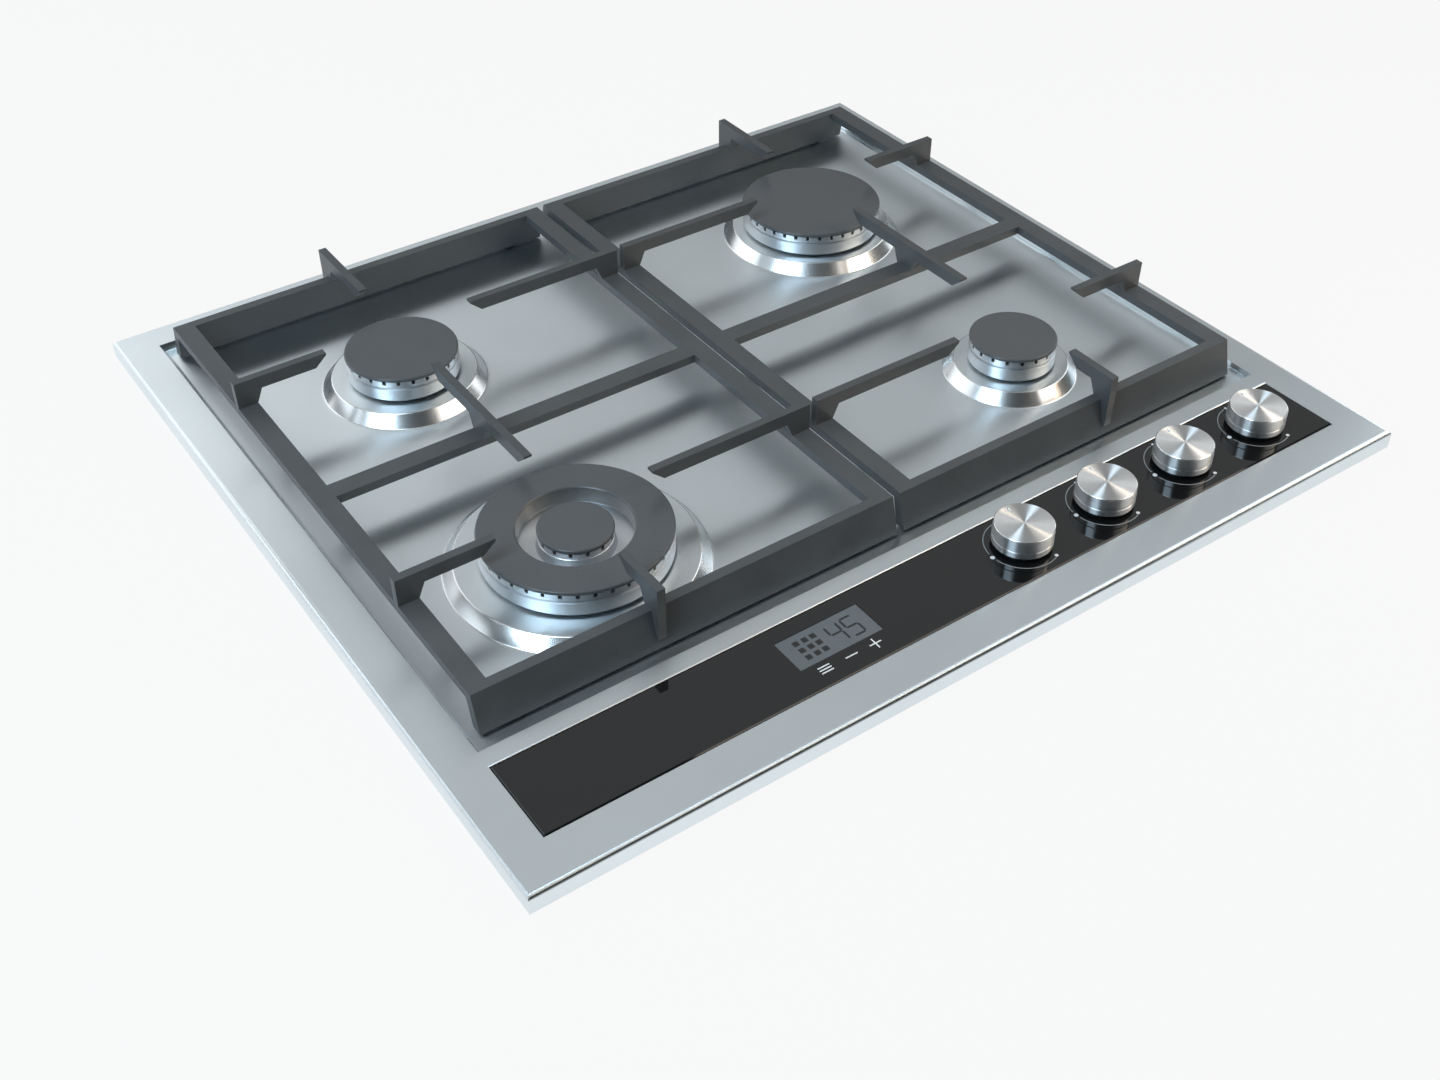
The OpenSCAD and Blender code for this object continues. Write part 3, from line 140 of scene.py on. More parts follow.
def combine(base, other, operation):
    boolean = base.modifiers.new("cut", "BOOLEAN")
    boolean.operation = operation
    boolean.solver = "EXACT"
    boolean.object = other
    bpy.context.view_layer.update()
    result = bpy.data.meshes.new_from_object(base.evaluated_get(bpy.context.evaluated_depsgraph_get()))
    base.modifiers.remove(boolean)
    old = base.data
    base.data = result
    bpy.data.meshes.remove(old)
    bpy.data.objects.remove(other)
    return base


def joined(parts, name):
    bm = bmesh.new()
    for part in parts:
        bm.from_mesh(part.data)
        bpy.data.objects.remove(part)
    mesh = bpy.data.meshes.new(name)
    bm.to_mesh(mesh)
    bm.free()
    return makeObject(name, mesh)


def softenEdges(piece, width, segments, angle):
    bevel = piece.modifiers.new("edges", "BEVEL")
    bevel.width = width * mm
    bevel.segments = segments
    bevel.limit_method = "ANGLE"
    bevel.angle_limit = math.radians(angle)
    bevel.miter_outer = "MITER_ARC"
    return piece


def settle(piece):
    # makes the modifiers' result the piece's own mesh
    bpy.context.view_layer.update()
    mesh = bpy.data.meshes.new_from_object(piece.evaluated_get(bpy.context.evaluated_depsgraph_get()))
    piece.modifiers.clear()
    old = piece.data
    piece.data = mesh
    bpy.data.meshes.remove(old)
    return piece


def brushUv(piece):
    # lays the brushing along x on level faces, and along each wall
    layer = piece.data.uv_layers.get("brush") or piece.data.uv_layers.new(name="brush")
    for polygon in piece.data.polygons:
        n = polygon.normal
        for loop in polygon.loop_indices:
            co = piece.data.vertices[piece.data.loops[loop].vertex_index].co
            if abs(n.z) > 0.35:
                uv = (co.x, co.y)
            elif abs(n.y) > abs(n.x):
                uv = (co.x, co.z)
            else:
                uv = (co.y, co.z)
            layer.data[loop].uv = uv
    return piece


def centreOrigin(piece, x, y):
    # puts the piece's own origin on its axis, so turned marks run round it
    piece.data.transform(Matrix.Translation((-x * mm, -y * mm, 0)))
    piece.location = (x * mm, y * mm, 0)
    bpy.context.view_layer.update()
    return piece


def dress(piece, finishNames, name, body, nodes=()):
    piece.name = name
    piece.data.name = name
    for finishName in finishNames:
        piece.data.materials.append(finishes[finishName])
    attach(piece, body)
    if nodes:
        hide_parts(*nodes)
    return piece


# Shader groups

def newGroup(name, values, results):
    # a group that takes a vector and the named values, and gives the named results
    group = bpy.data.node_groups.new(name, "ShaderNodeTree")
    group.interface.new_socket(name="Vector", in_out="INPUT", socket_type="NodeSocketVector")
    for label, value in values.items():
        socket = group.interface.new_socket(name=label, in_out="INPUT", socket_type="NodeSocketFloat")
        socket.default_value = value
    for label in results:
        group.interface.new_socket(name=label, in_out="OUTPUT", socket_type="NodeSocketFloat")
    return group, group.nodes.new("NodeGroupInput"), group.nodes.new("NodeGroupOutput")


def mathNode(tree, operation, *values, clamp=False):
    node = tree.nodes.new("ShaderNodeMath")
    node.operation = operation
    node.use_clamp = clamp
    for socket, value in zip(node.inputs, values):
        if isinstance(value, (int, float)):
            socket.default_value = value
        else:
            tree.links.new(value, socket)
    return node.outputs[0]


def rampNode(tree, value, low, high):
    # 0 at low, 1 at high
    return mathNode(tree, "MULTIPLY", mathNode(tree, "SUBTRACT", value, low), 1 / (high - low), clamp=True)


def noiseNode(tree, vector, scale, detail, roughness=0.55):
    node = tree.nodes.new("ShaderNodeTexNoise")
    tree.links.new(vector, node.inputs["Vector"])
    for label, value in (("Scale", scale), ("Detail", detail), ("Roughness", roughness)):
        if isinstance(value, (int, float)):
            node.inputs[label].default_value = value
        else:
            tree.links.new(value, node.inputs[label])
    return node.outputs[0]


def splitVector(tree, vector):
    node = tree.nodes.new("ShaderNodeSeparateXYZ")
    tree.links.new(vector, node.inputs[0])
    return node.outputs


def gatherVector(tree, *parts):
    node = tree.nodes.new("ShaderNodeCombineXYZ")
    for socket, part in zip(node.inputs, parts):
        tree.links.new(part, socket)
    return node.outputs[0]


def buildBrushedGroup():
    # straight brushing: fine lines along x, and slow bands
    bandScale = 14.0
    group, gin, gout = newGroup("brushedLines", {"Stretch": 90.0, "Scale": 2600.0}, ["Lines", "Bands"])
    x, y, z = splitVector(group, gin.outputs["Vector"])
    stretched = gatherVector(group, mathNode(group, "DIVIDE", x, gin.outputs["Stretch"]), y, z)
    group.links.new(noiseNode(group, stretched, gin.outputs["Scale"], 2), gout.inputs["Lines"])
    group.links.new(noiseNode(group, gin.outputs["Vector"], bandScale, 2), gout.inputs["Bands"])
    return group


def buildTurnedGroup():
    # lathe marks: lines round the piece's own upright axis
    group, gin, gout = newGroup("turnedLines", {"Scale": 1800.0}, ["Lines"])
    x, y, z = splitVector(group, gin.outputs["Vector"])
    squares = mathNode(group, "ADD", mathNode(group, "MULTIPLY", x, x), mathNode(group, "MULTIPLY", y, y))
    rings = gatherVector(group, mathNode(group, "SQRT", squares), z)
    group.links.new(noiseNode(group, rings, gin.outputs["Scale"], 2), gout.inputs["Lines"])
    return group


def buildCastGroup():
    # enamelled casting: fine orange peel and broad unevenness
    peelShare, broadShare = 0.7, 0.5
    group, gin, gout = newGroup("castSkin", {"Peel": 900.0, "Broad": 40.0}, ["Height", "Tone"])
    peel = noiseNode(group, gin.outputs["Vector"], gin.outputs["Peel"], 3)
    broad = noiseNode(group, gin.outputs["Vector"], gin.outputs["Broad"], 3)
    height = mathNode(group, "ADD", mathNode(group, "MULTIPLY", peel, peelShare),
                      mathNode(group, "MULTIPLY", broad, broadShare))
    group.links.new(height, gout.inputs["Height"])
    group.links.new(broad, gout.inputs["Tone"])
    return group


brushedLines = buildBrushedGroup()
turnedLines = buildTurnedGroup()
castSkin = buildCastGroup()
print("shader groups built")


# Materials

noiseSpan = (0.3, 0.7)  # nearly all of a noise texture's values lie between these


def newMaterial(name, base, metallic, roughness, sockets):
    material = bpy.data.materials.new(name)
    material.use_nodes = True
    shader = material.node_tree.nodes["Principled BSDF"]
    values = {"Base Color": (*base, 1), "Metallic": metallic, "Roughness": roughness, **sockets}
    for label, value in values.items():
        shader.inputs[label].default_value = value
    return material, material.node_tree, shader


def addGroup(tree, group, values):
    node = tree.nodes.new("ShaderNodeGroup")
    node.node_tree = group
    coords = tree.nodes.new("ShaderNodeTexCoord")
    tree.links.new(coords.outputs["Object"], node.inputs["Vector"])
    for label, value in values.items():
        node.inputs[label].default_value = value
    return node


def colourRamp(tree, value, stops):
    node = tree.nodes.new("ShaderNodeValToRGB")
    tree.links.new(value, node.inputs[0])
    elements = node.color_ramp.elements
    elements[0].position, elements[0].color = stops[0][0], (*stops[0][1], 1)
    elements[1].position, elements[1].color = stops[-1][0], (*stops[-1][1], 1)
    for position, colour in stops[1:-1]:
        elements.new(position).color = (*colour, 1)
    return node.outputs[0]


def varyRoughness(tree, shader, value, low, high):
    # the roughness goes from low to high over the noise's span
    node = tree.nodes.new("ShaderNodeMapRange")
    tree.links.new(value, node.inputs["Value"])
    for label, number in zip(("From Min", "From Max", "To Min", "To Max"), (*noiseSpan, low, high)):
        node.inputs[label].default_value = number
    tree.links.new(node.outputs[0], shader.inputs["Roughness"])


def varyColour(tree, shader, value, colour, shades):
    # the colour goes from its dark to its light shade over the noise's span
    stops = [(place, tuple(c * shade for c in colour)) for place, shade in zip(noiseSpan, shades)]
    tree.links.new(colourRamp(tree, value, stops), shader.inputs["Base Color"])


def addBump(tree, shader, height, strength, distance):
    bump = tree.nodes.new("ShaderNodeBump")
    bump.inputs["Strength"].default_value = strength
    bump.inputs["Distance"].default_value = distance
    tree.links.new(height, bump.inputs["Height"])
    tree.links.new(bump.outputs[0], shader.inputs["Normal"])


# brushed marks follow the brush UV, turned ones run round the axis, so their shine spreads outward;
# depth is the bump's, in metres
markKinds = {
    "brushed": {"group": brushedLines, "values": {"Stretch": 90.0}, "tone": "Bands", "shades": (0.965, 1.02),
                "tangent": {"direction_type": "UV_MAP", "uv_map": "brush"}, "turn": 0.0, "depth": 0.00002},
    "turned": {"group": turnedLines, "values": {}, "tone": "Lines", "shades": (0.95, 1.02),
               "tangent": {"direction_type": "RADIAL", "axis": "Z"}, "turn": 0.25, "depth": 0.00002}}
# lines is how far the marks change the roughness, bump their relief, scale how many there are to a metre
markedFinishes = {
    "steelBrushed": {"marks": "brushed", "colour": (0.81, 0.88, 0.915), "roughness": 0.34, "anisotropy": 0.95,
                     "lines": 0.01, "bump": 0.012, "scale": 2600.0},
    # lighter than the brushed steel of the same sheet: painted highlight on the bands; the smoother polish is
    # their own finish
    "steelPolishedBandPaintedHighlight": {"marks": "brushed", "colour": (0.9, 0.92, 0.93), "roughness": 0.24,
                          "anisotropy": 0.0, "lines": 0.003, "bump": 0.001, "scale": 2600.0},
    "knobTurned": {"marks": "turned", "colour": (0.86, 0.87, 0.87), "roughness": 0.4, "anisotropy": 1.0,
                   "lines": 0.02, "bump": 0.02, "scale": 1800.0},
    # the edge's lighter colour is a painted highlight, for the bright line round the top; its polish is its
    # own finish
    "knobEdgePolishedPaintedHighlight": {"marks": "turned", "colour": (0.93, 0.94, 0.94), "roughness": 0.22,
                         "anisotropy": 0.0, "lines": 0.01, "bump": 0.0, "scale": 1800.0},
    # the side's darker colour is painted shade, for the dark glass that the wall mirrors; its finer turning
    # is its own finish
    "knobSideTurnedPaintedShade": {"marks": "turned", "colour": (0.74, 0.76, 0.78), "roughness": 0.34, "anisotropy": 1.0,
                       "lines": 0.02, "bump": 0.02, "scale": 1800.0},
    "burnerAluminium": {"marks": "turned", "colour": (0.7, 0.73, 0.76), "roughness": 0.4, "anisotropy": 0.7,
                        "lines": 0.015, "bump": 0.01, "scale": 2600.0},
    "ringWallTurned": {"marks": "turned", "colour": (0.36, 0.36, 0.355), "roughness": 0.42, "anisotropy": 0.6,
                       "lines": 0.015, "bump": 0.01, "scale": 2600.0}}


def markedMetal(name, finish):
    marks, middle, swing = markKinds[finish["marks"]], finish["roughness"], finish["lines"]
    material, tree, shader = newMaterial(name, finish["colour"], 1.0, middle, {
        "Anisotropic": finish["anisotropy"], "Anisotropic Rotation": marks["turn"]})
    grain = addGroup(tree, marks["group"], {**marks["values"], "Scale": finish["scale"]})
    varyRoughness(tree, shader, grain.outputs["Lines"], middle - swing, middle + swing)
    varyColour(tree, shader, grain.outputs[marks["tone"]], finish["colour"], marks["shades"])
    addBump(tree, shader, grain.outputs["Lines"], finish["bump"], marks["depth"])
    tangent = tree.nodes.new("ShaderNodeTangent")
    for setting, value in marks["tangent"].items():
        setattr(tangent, setting, value)
    tree.links.new(tangent.outputs[0], shader.inputs["Tangent"])
    return material


# broad is the scale of the slow unevenness, which changes roughness and colour by the factors given
skinKinds = {
    "castEnamel": {"metallic": 0.0, "broad": 45.0, "rough": (0.88, 1.15), "shades": (0.91, 1.09),
                   "depth": 0.00006},
    "smoothEnamel": {"metallic": 0.0, "broad": 45.0, "rough": (0.88, 1.15), "shades": (0.97, 1.03),
                     "depth": 0.00006},
    "moulded": {"metallic": 0.0, "broad": 80.0, "rough": (0.9, 1.15), "shades": (0.94, 1.05),
                "depth": 0.00003},
    "metal": {"metallic": 1.0, "broad": 60.0, "rough": (0.85, 1.2), "shades": (0.93, 1.03),
              "depth": 0.00004}}
# kind, colour, roughness, and the scale and relief of the orange peel
skinFinishes = {
    "grateEnamel": ("castEnamel", (0.075, 0.079, 0.082), 0.42, 1100.0, 0.25),
    "capEnamel": ("smoothEnamel", (0.09, 0.094, 0.098), 0.3, 2400.0, 0.02),
    "displayGrey": ("moulded", (0.125, 0.138, 0.146), 0.25, 2500.0, 0.02),
    "displaySegments": ("moulded", (0.018, 0.02, 0.021), 0.35, 2500.0, 0.02),
    "whitePrint": ("moulded", (0.78, 0.79, 0.79), 0.5, 2500.0, 0.02),
    "greyPrint": ("moulded", (0.3, 0.31, 0.31), 0.5, 2500.0, 0.02),
    "collarBlack": ("moulded", (0.006, 0.006, 0.006), 0.35, 1400.0, 0.1),
    "footRubber": ("moulded", (0.012, 0.012, 0.012), 0.7, 1400.0, 0.1),
    "sealFoam": ("moulded", (0.02, 0.02, 0.02), 0.9, 500.0, 0.3),
    "sparkCeramic": ("moulded", (0.75, 0.73, 0.68), 0.22, 1400.0, 0.1),
    "boardGreen": ("moulded", (0.02, 0.09, 0.045), 0.45, 1400.0, 0.1),
    "moduleWhite": ("moulded", (0.6, 0.6, 0.57), 0.45, 1400.0, 0.1),
    "leadRed": ("moulded", (0.3, 0.02, 0.02), 0.45, 1400.0, 0.1),
    "traySteel": ("metal", (0.55, 0.56, 0.57), 0.42, 700.0, 0.08),
    "fixingSteel": ("metal", (0.6, 0.6, 0.58), 0.35, 700.0, 0.08),
    "railSteel": ("metal", (0.5, 0.51, 0.52), 0.35, 700.0, 0.08),
    "machinedBrass": ("metal", (0.72, 0.53, 0.24), 0.3, 700.0, 0.08),
    "pipeAluminium": ("metal", (0.7, 0.71, 0.72), 0.35, 700.0, 0.08),
    # the cups are coloured near black so the flange under each head shows as the dark gap there: painted
    # shade
    "cupDarkPaintedShade": ("metal", (0.1, 0.104, 0.108), 0.5, 500.0, 0.2),
    "sensorCopper": ("metal", (0.55, 0.32, 0.2), 0.35, 700.0, 0.08),
    "springSteel": ("metal", (0.65, 0.65, 0.65), 0.25, 700.0, 0.08)}


def skinnedFinish(name, kind, colour, roughness, peel, bump):
    k = skinKinds[kind]
    material, tree, shader = newMaterial(name, colour, k["metallic"], roughness, {})
    skin = addGroup(tree, castSkin, {"Peel": peel, "Broad": k["broad"]})
    varyRoughness(tree, shader, skin.outputs["Tone"], *[min(1, roughness * factor) for factor in k["rough"]])
    varyColour(tree, shader, skin.outputs["Tone"], colour, k["shades"])
    addBump(tree, shader, skin.outputs["Height"], bump, k["depth"])
    return material


glassLook = {"colour": (0.006, 0.0062, 0.0066), "roughness": 0.03, "smoothest": 0.015, "roughest": 0.05,
             "refraction": 1.56, "peel": 90.0, "broad": 9.0}


def blackGlass(name):
    g = glassLook
    material, tree, shader = newMaterial(name, g["colour"], 0.0, g["roughness"], {"IOR": g["refraction"]})
    skin = addGroup(tree, castSkin, {"Peel": g["peel"], "Broad": g["broad"]})
    varyRoughness(tree, shader, skin.outputs["Tone"], g["smoothest"], g["roughest"])
    return material


finishes = {"blackGlass": blackGlass("blackGlass")}
for name, finish in markedFinishes.items():
    finishes[name] = markedMetal(name, finish)
for name, values in skinFinishes.items():
    finishes[name] = skinnedFinish(name, *values)
print("materials built:", len(bpy.data.materials))


# Plate

def tubSection(half, depth, fillet, top, steps=8):
    run = plateSizes["wallRun"]
    left = [(-half, top), (-half, 0)]
    for i in range(steps + 1):
        a = math.radians(90 * i / steps)
        left.append((-half + run + fillet - fillet * math.cos(a), -depth + fillet - fillet * math.sin(a)))
    return left + [(-u, w) for u, w in reversed(left)]


def tub(grow, top):
    # the pan as a solid: its two sections, crossed
    s = plateSizes
    depth, fillet = s["panDepth"] + grow, s["fillet"] + grow
    midY = (s["panFront"] + s["panBack"]) / 2
    halfX, halfY = s["glassX"] + grow, (s["panBack"] - s["panFront"]) / 2 + grow
    along = prism(tubSection(halfX, depth, fillet, top), -halfY, halfY,
                  lambda u, w, t: (u, midY + t, deck + w))
    across = prism(tubSection(halfY, depth, fillet, top), -halfX, halfX,
                   lambda u, w, t: (t, midY + u, deck + w))
    return combine(along, across, "INTERSECT")


def ringSlab(rings, midY=0):
    # stacked rectangles of (half width, half depth, height)
    signs = ((-1, -1), (1, -1), (1, 1), (-1, 1))
    vertices = [(sx * x, midY + sy * y, z) for x, y, z in rings for sx, sy in signs]
    last = 4 * (len(rings) - 1)
    faces = [(3, 2, 1, 0), (last, last + 1, last + 2, last + 3)]
    for level in range(0, last, 4):
        faces += [(level + i, level + (i + 1) % 4, level + 4 + (i + 1) % 4, level + 4 + i) for i in range(4)]
    return tidyNormals(meshObject("slab", vertices, faces))


def roundedSlab(w, d, z0, z1, radius, steps=6):
    rings = [(w / 2, d / 2, z0)]
    for i in range(steps + 1):
        a = math.radians(90 * i / steps)
        inset = radius * (1 - math.cos(a))
        rings.append((w / 2 - inset, d / 2 - inset, z1 - radius + radius * math.sin(a)))
    return ringSlab(rings)


def pocketCutter():
    # the glass's pocket, flared at the deck
    s = plateSizes
    halfX, halfY, flare = s["glassX"], (s["glassBack"] - s["glassFront"]) / 2, s["pocketFlare"]
    rings = [(halfX, halfY, panFloor), (halfX, halfY, deck - flare), (halfX + flare, halfY + flare, deck),
             (halfX + flare, halfY + flare, deck + 2)]
    return ringSlab(rings, (s["glassBack"] + s["glassFront"]) / 2)


def zoneProfile(zone, hole):
    # a raised zone: its conical band, its flat top and the burner's hole
    t, band = plateSizes["sheet"], plateSizes["zoneBand"]
    return [(zone + 3, panFloor), (zone + 0.5, panFloor), (zone - 0.2, panFloor + 0.3),
            (zone - band + 0.5, zoneTop - 0.4), (zone - band - 0.3, zoneTop), (hole, zoneTop),
            (hole, zoneTop - t), (zone - band - 0.5, zoneTop - t), (zone - 0.6, panFloor - t),
            (zone + 3, panFloor - t)]


def drill(piece, x, y, radius, z0, z1, segments):
    bit = turned([(0, z0), (radius, z0), (radius, z1), (0, z1)], x, y, segments)
    return combine(piece, bit, "DIFFERENCE")


def buildPlate():
    s = plateSizes
    t, rim = s["sheet"], deck - s["rimHeight"]
    plate = roundedSlab(s["width"], s["depth"], rim, deck, s["rimRound"])
    inside = roundedSlab(s["width"] - 2 * t, s["depth"] - 2 * t, rim + t, deck - t, s["rimRound"] - t)
    combine(plate, inside, "DIFFERENCE")
    inX, inY = s["width"] / 2 - s["flange"], s["depth"] / 2 - s["flange"]
    combine(plate, block(-inX, -inY, rim - 1, inX, inY, rim + 2 * t), "DIFFERENCE")
    combine(plate, tub(t, 0), "UNION")
    pocketX = s["glassX"] + t
    pocket = block(-pocketX, s["glassFront"] - t, panFloor - t, pocketX, s["glassBack"] + t, deck)
    combine(plate, pocket, "UNION")
    combine(plate, tub(0, 5), "DIFFERENCE")
    combine(plate, pocketCutter(), "DIFFERENCE")
    for burner in burners.values():
        x, y, zone = burner["x"], burner["y"], burner["zone"]
        drill(plate, x, y, zone + 2, panFloor - 5, panFloor + 1, 128)
        combine(plate, turned(zoneProfile(zone, burner["cap"] - s["headHoleIn"]), x, y, 128), "UNION")
        for angle in s["sparkAngles"]:
            a, r = math.radians(angle), burner["cap"] + s["sparkOut"]
            sparkX, sparkY = x + r * math.cos(a), y + r * math.sin(a)
            drill(plate, sparkX, sparkY, s["sparkHole"], zoneTop - 3, zoneTop + 2, 24)
    for x in tapX:
        drill(plate, x, tapY, s["tapHole"], panFloor - 4, panFloor + 2, 48)
    softenEdges(plate, s["edge"], 2, 50)
    settle(plate)
    smoothByAngle(plate, 40)
    brushUv(plate)
    # the conical bands round the burners get a polished finish: smoother, and lighter in colour as a painted
    # highlight
    for polygon in plate.data.polygons:
        c = polygon.center
        if panFloor * mm < c.z < (zoneTop - 0.1) * mm and 0.2 < polygon.normal.z < 0.95:
            for burner in burners.values():
                r = math.hypot(c.x / mm - burner["x"], c.y / mm - burner["y"])
                if burner["zone"] - s["bandFrom"] < r < burner["zone"] + s["bandTo"]:
                    polygon.material_index = 1
    names = ["steelBrushed", "steelPolishedBandPaintedHighlight"]
    return dress(plate, names, "steelPlate", "hob", ["top_plate"])


buildPlate()
print("plate built")


# Grates

grateSizes = {
    "x0": 2.5, "x1": 262.5, "front": -158, "back": 226, "top": deck + 19, "barWidth": 12, "barThick": 5.5,
    "apronThick": 6.2, "apronRun": 6, "apronTaper": 1, "apronFoot": panFloor + 1.4, "finger": 5,
    "fingerTop": deck + 36, "fingerDeep": 8, "fingerFoot": 6, "reach": 48, "slant": 7.5, "nose": 1.4,
    "rootRun": 4, "edge": 0.35}


def fingerOutline(root, reach, foot):
    g = grateSizes
    low = g["fingerTop"] - g["fingerDeep"]
    return [(0, foot), (0, g["fingerTop"]), (reach, g["fingerTop"]), (reach, g["fingerTop"] - g["nose"]),
            (reach - g["slant"], low), (root + g["rootRun"], low), (root, g["top"]), (root, g["top"] - 2)]


def fingerPiece(x, y, dx, dy, root, reach, foot):
    # a finger from (x, y) in the direction (dx, dy)
    half = grateSizes["finger"] / 2
    return prism(fingerOutline(root, reach, foot), -half, half,
                 lambda u, w, t: (x + dx * u - dy * t, y + dy * u + dx * t, w))


def crossFinger(x, y, half):
    # the finger that crosses the middle bar, with two tips
    g = grateSizes
    root, low = g["barWidth"] / 2, g["fingerTop"] - g["fingerDeep"]
    outline = [(half, g["fingerTop"]), (half, g["fingerTop"] - g["nose"]), (half - g["slant"], low),
               (root + g["rootRun"], low), (root, g["top"] - 1)]
    outline += [(-u, w) for u, w in reversed(outline)]
    return prism(outline, -g["finger"] / 2, g["finger"] / 2, lambda u, w, t: (x + t, y + u, w))


def buildGrate(side):
    # made for the right side, and mirrored for the left
    g = grateSizes
    thick, run, top, foot = g["apronThick"], g["apronRun"], g["top"], g["apronFoot"]
    front, back, x0, x1, barWidth, reach = g["front"], g["back"], g["x0"], g["x1"], g["barWidth"], g["reach"]
    rearY, frontY, x = burners["rear_right"]["y"], burners["front_right"]["y"], burners["rear_right"]["x"]
    crossY, barFoot, fingerFoot = (rearY + frontY) / 2, top - g["barThick"], foot + g["fingerFoot"]
    parts = []
    for edge, d in ((front, 1), (back, -1)):
        section = [(edge, top), (edge + d * thick, top), (edge + d * (thick - run + g["apronTaper"]), foot),
                   (edge - d * run, foot)]
        parts.append(prism(section, x0, x1, lambda u, w, t: (t, u, w)))
    for barX in (x0, x1 - barWidth):
        parts.append(block(barX, front + 1, barFoot, barX + barWidth, back - 1, top))
    parts.append(block(x0 + 1, crossY - barWidth / 2, barFoot, x1 - 1, crossY + barWidth / 2, top))
    for y in (rearY, frontY):
        parts.append(fingerPiece(x0, y, 1, 0, barWidth, x - reach - x0, top - 2))
        parts.append(fingerPiece(x1, y, -1, 0, barWidth, x1 - x - reach, top - 2))
    parts.append(fingerPiece(x, front - run, 0, 1, run + thick, frontY - reach - front + run, fingerFoot))
    parts.append(fingerPiece(x, back + run, 0, -1, run + thick, back + run - rearY - reach, fingerFoot))
    parts.append(crossFinger(x, crossY, (rearY - frontY) / 2 - reach))
    grate = parts[0]
    for part in parts[1:]:
        combine(grate, part, "UNION")
    if side == "left":
        grate.data.transform(Matrix.Scale(-1, 4, (1, 0, 0)))
        tidyNormals(grate)
    softenEdges(grate, g["edge"], 3, 20)
    settle(grate)
    smoothByAngle(grate, 40)
    node = "grate_" + side
    return dress(grate, ["grateEnamel"], "castGrate" + side.capitalize(), node, [node])


for side in ("left", "right"):
    buildGrate(side)
print("grates built")


# Burners

headSizes = {
    "cupTop": zoneTop + 2, "capTop": deck + 20, "capThick": 2.2, "gap": 0.6, "skirtIn": 0.3, "tierIn": 1,
    "wall": 5, "sill": 2.5, "floor": 3, "slotWidth": 2, "slotHeight": 2.4, "tierDrop": 1.8, "lift": 0.3,
    "tube": 7, "tubeWall": 2.5, "tubeDrop": 8, "spigot": 3, "collarGap": 0.5, "collarWall": 2.5,
    "ringHole": 32, "ringInset": 1.2, "innerCap": 21, "innerInset": 0.6, "innerWall": 4, "innerDrop": 0.4,
    "innerSlots": 14, "edge": 0.25, "capEdge": 0.2, "capRound": 1.1}
seatZ = headSizes["capTop"] - headSizes["capThick"]
headTop = seatZ - headSizes["gap"]
tierZ = headTop - headSizes["slotHeight"] - headSizes["tierDrop"]


def slotCutters(count, rIn, rOut, top, x, y):
    h = headSizes
    cutters = []
    for s in range(count):
        a = 2 * math.pi * s / count
        cutter = block(rIn, -h["slotWidth"] / 2, top - h["slotHeight"], rOut, h["slotWidth"] / 2, top + 2)
        cutter.data.transform(Matrix.Translation((x * mm, y * mm, 0)) @ Matrix.Rotation(a, 4, "Z"))
        cutters.append(cutter)
    return joined(cutters, "slots")


def headOutline(r):
    # the skirt, the groove over it and the tier with the flame slots
    h = headSizes
    tier = r - h["tierIn"]
    return [(r - h["skirtIn"], h["cupTop"]), (r - h["skirtIn"] + 0.2, tierZ - 0.9), (tier - 0.7, tierZ - 0.6),
            (tier - 0.7, tierZ - 0.2), (tier, tierZ), (tier, headTop), (tier - h["sill"], headTop),
            (tier - h["sill"], seatZ), (tier - h["wall"], seatZ)]


def spigotOutline(r):
    # the mixing tube, and the spigot that drops into the cup's collar
    h = headSizes
    mouth = r - plateSizes["headHoleIn"] - h["collarGap"] - h["collarWall"] - h["lift"]
    tube, tubeFoot, low = h["tube"] + h["tubeWall"], h["cupTop"] - h["tubeDrop"], h["cupTop"] - h["spigot"]
    return [(h["tube"], tubeFoot), (tube, tubeFoot), (tube, h["cupTop"]), (mouth - 2, h["cupTop"]),
            (mouth - 2, low), (mouth, low), (mouth, h["cupTop"])]


def innerRingOutline(dish, innerSeat, hub):
    # the ring burner's inner wall, its open dish and the small burner in the middle
    h = headSizes
    ringIn, innerTop, bore = h["ringHole"] + h["ringInset"], innerSeat - h["gap"], hub - h["innerWall"]
    return [(ringIn + 2.4, dish), (ringIn + 2.4, seatZ), (ringIn, seatZ), (ringIn, dish + 1),
            (hub + 1.6, dish), (hub + 0.4, tierZ), (hub, tierZ + 0.2), (hub, innerTop), (hub - 2, innerTop),
            (hub - 2, innerSeat), (bore, innerSeat), (bore, dish)]


def buildHead(name):
    h, burner = headSizes, burners[name]
    r, x, y = burner["cap"], burner["x"], burner["y"]
    dish, innerSeat, hub = h["cupTop"] + h["floor"], seatZ - h["innerDrop"], h["innerCap"] - h["innerInset"]
    tube, tubeTop = h["tube"] + h["tubeWall"], tierZ - 2
    outline = spigotOutline(r) + headOutline(r) + [(r - h["tierIn"] - h["wall"], dish)]
    if name == "front_left":
        outline += innerRingOutline(dish, innerSeat, hub)
    outline += [(tube, dish), (tube, tubeTop), (h["tube"], tubeTop)]
    head = turned(outline, x, y, 144)
    rim = r - h["tierIn"] - h["wall"] - 1
    combine(head, slotCutters(burner["slots"], rim, r + 1, headTop, x, y), "DIFFERENCE")
    if name == "front_left":
        innerCutters = slotCutters(h["innerSlots"], hub - 5, hub + 1, innerSeat - h["gap"], x, y)
        combine(head, innerCutters, "DIFFERENCE")
    centreOrigin(head, x, y)
    softenEdges(head, h["edge"], 2, 35)
    settle(head)
    smoothByAngle(head, 35)
    node = "head_" + name
    return dress(head, ["burnerAluminium"], "burnerHead_" + name, node, [node])


def quarterRound(r, top, rounding, steps):
    # from the top face down to the wall
    angles = [math.radians(90 - 90 * i / steps) for i in range(steps + 1)]
    return [(r - rounding + rounding * math.cos(a), top - rounding + rounding * math.sin(a)) for a in angles]


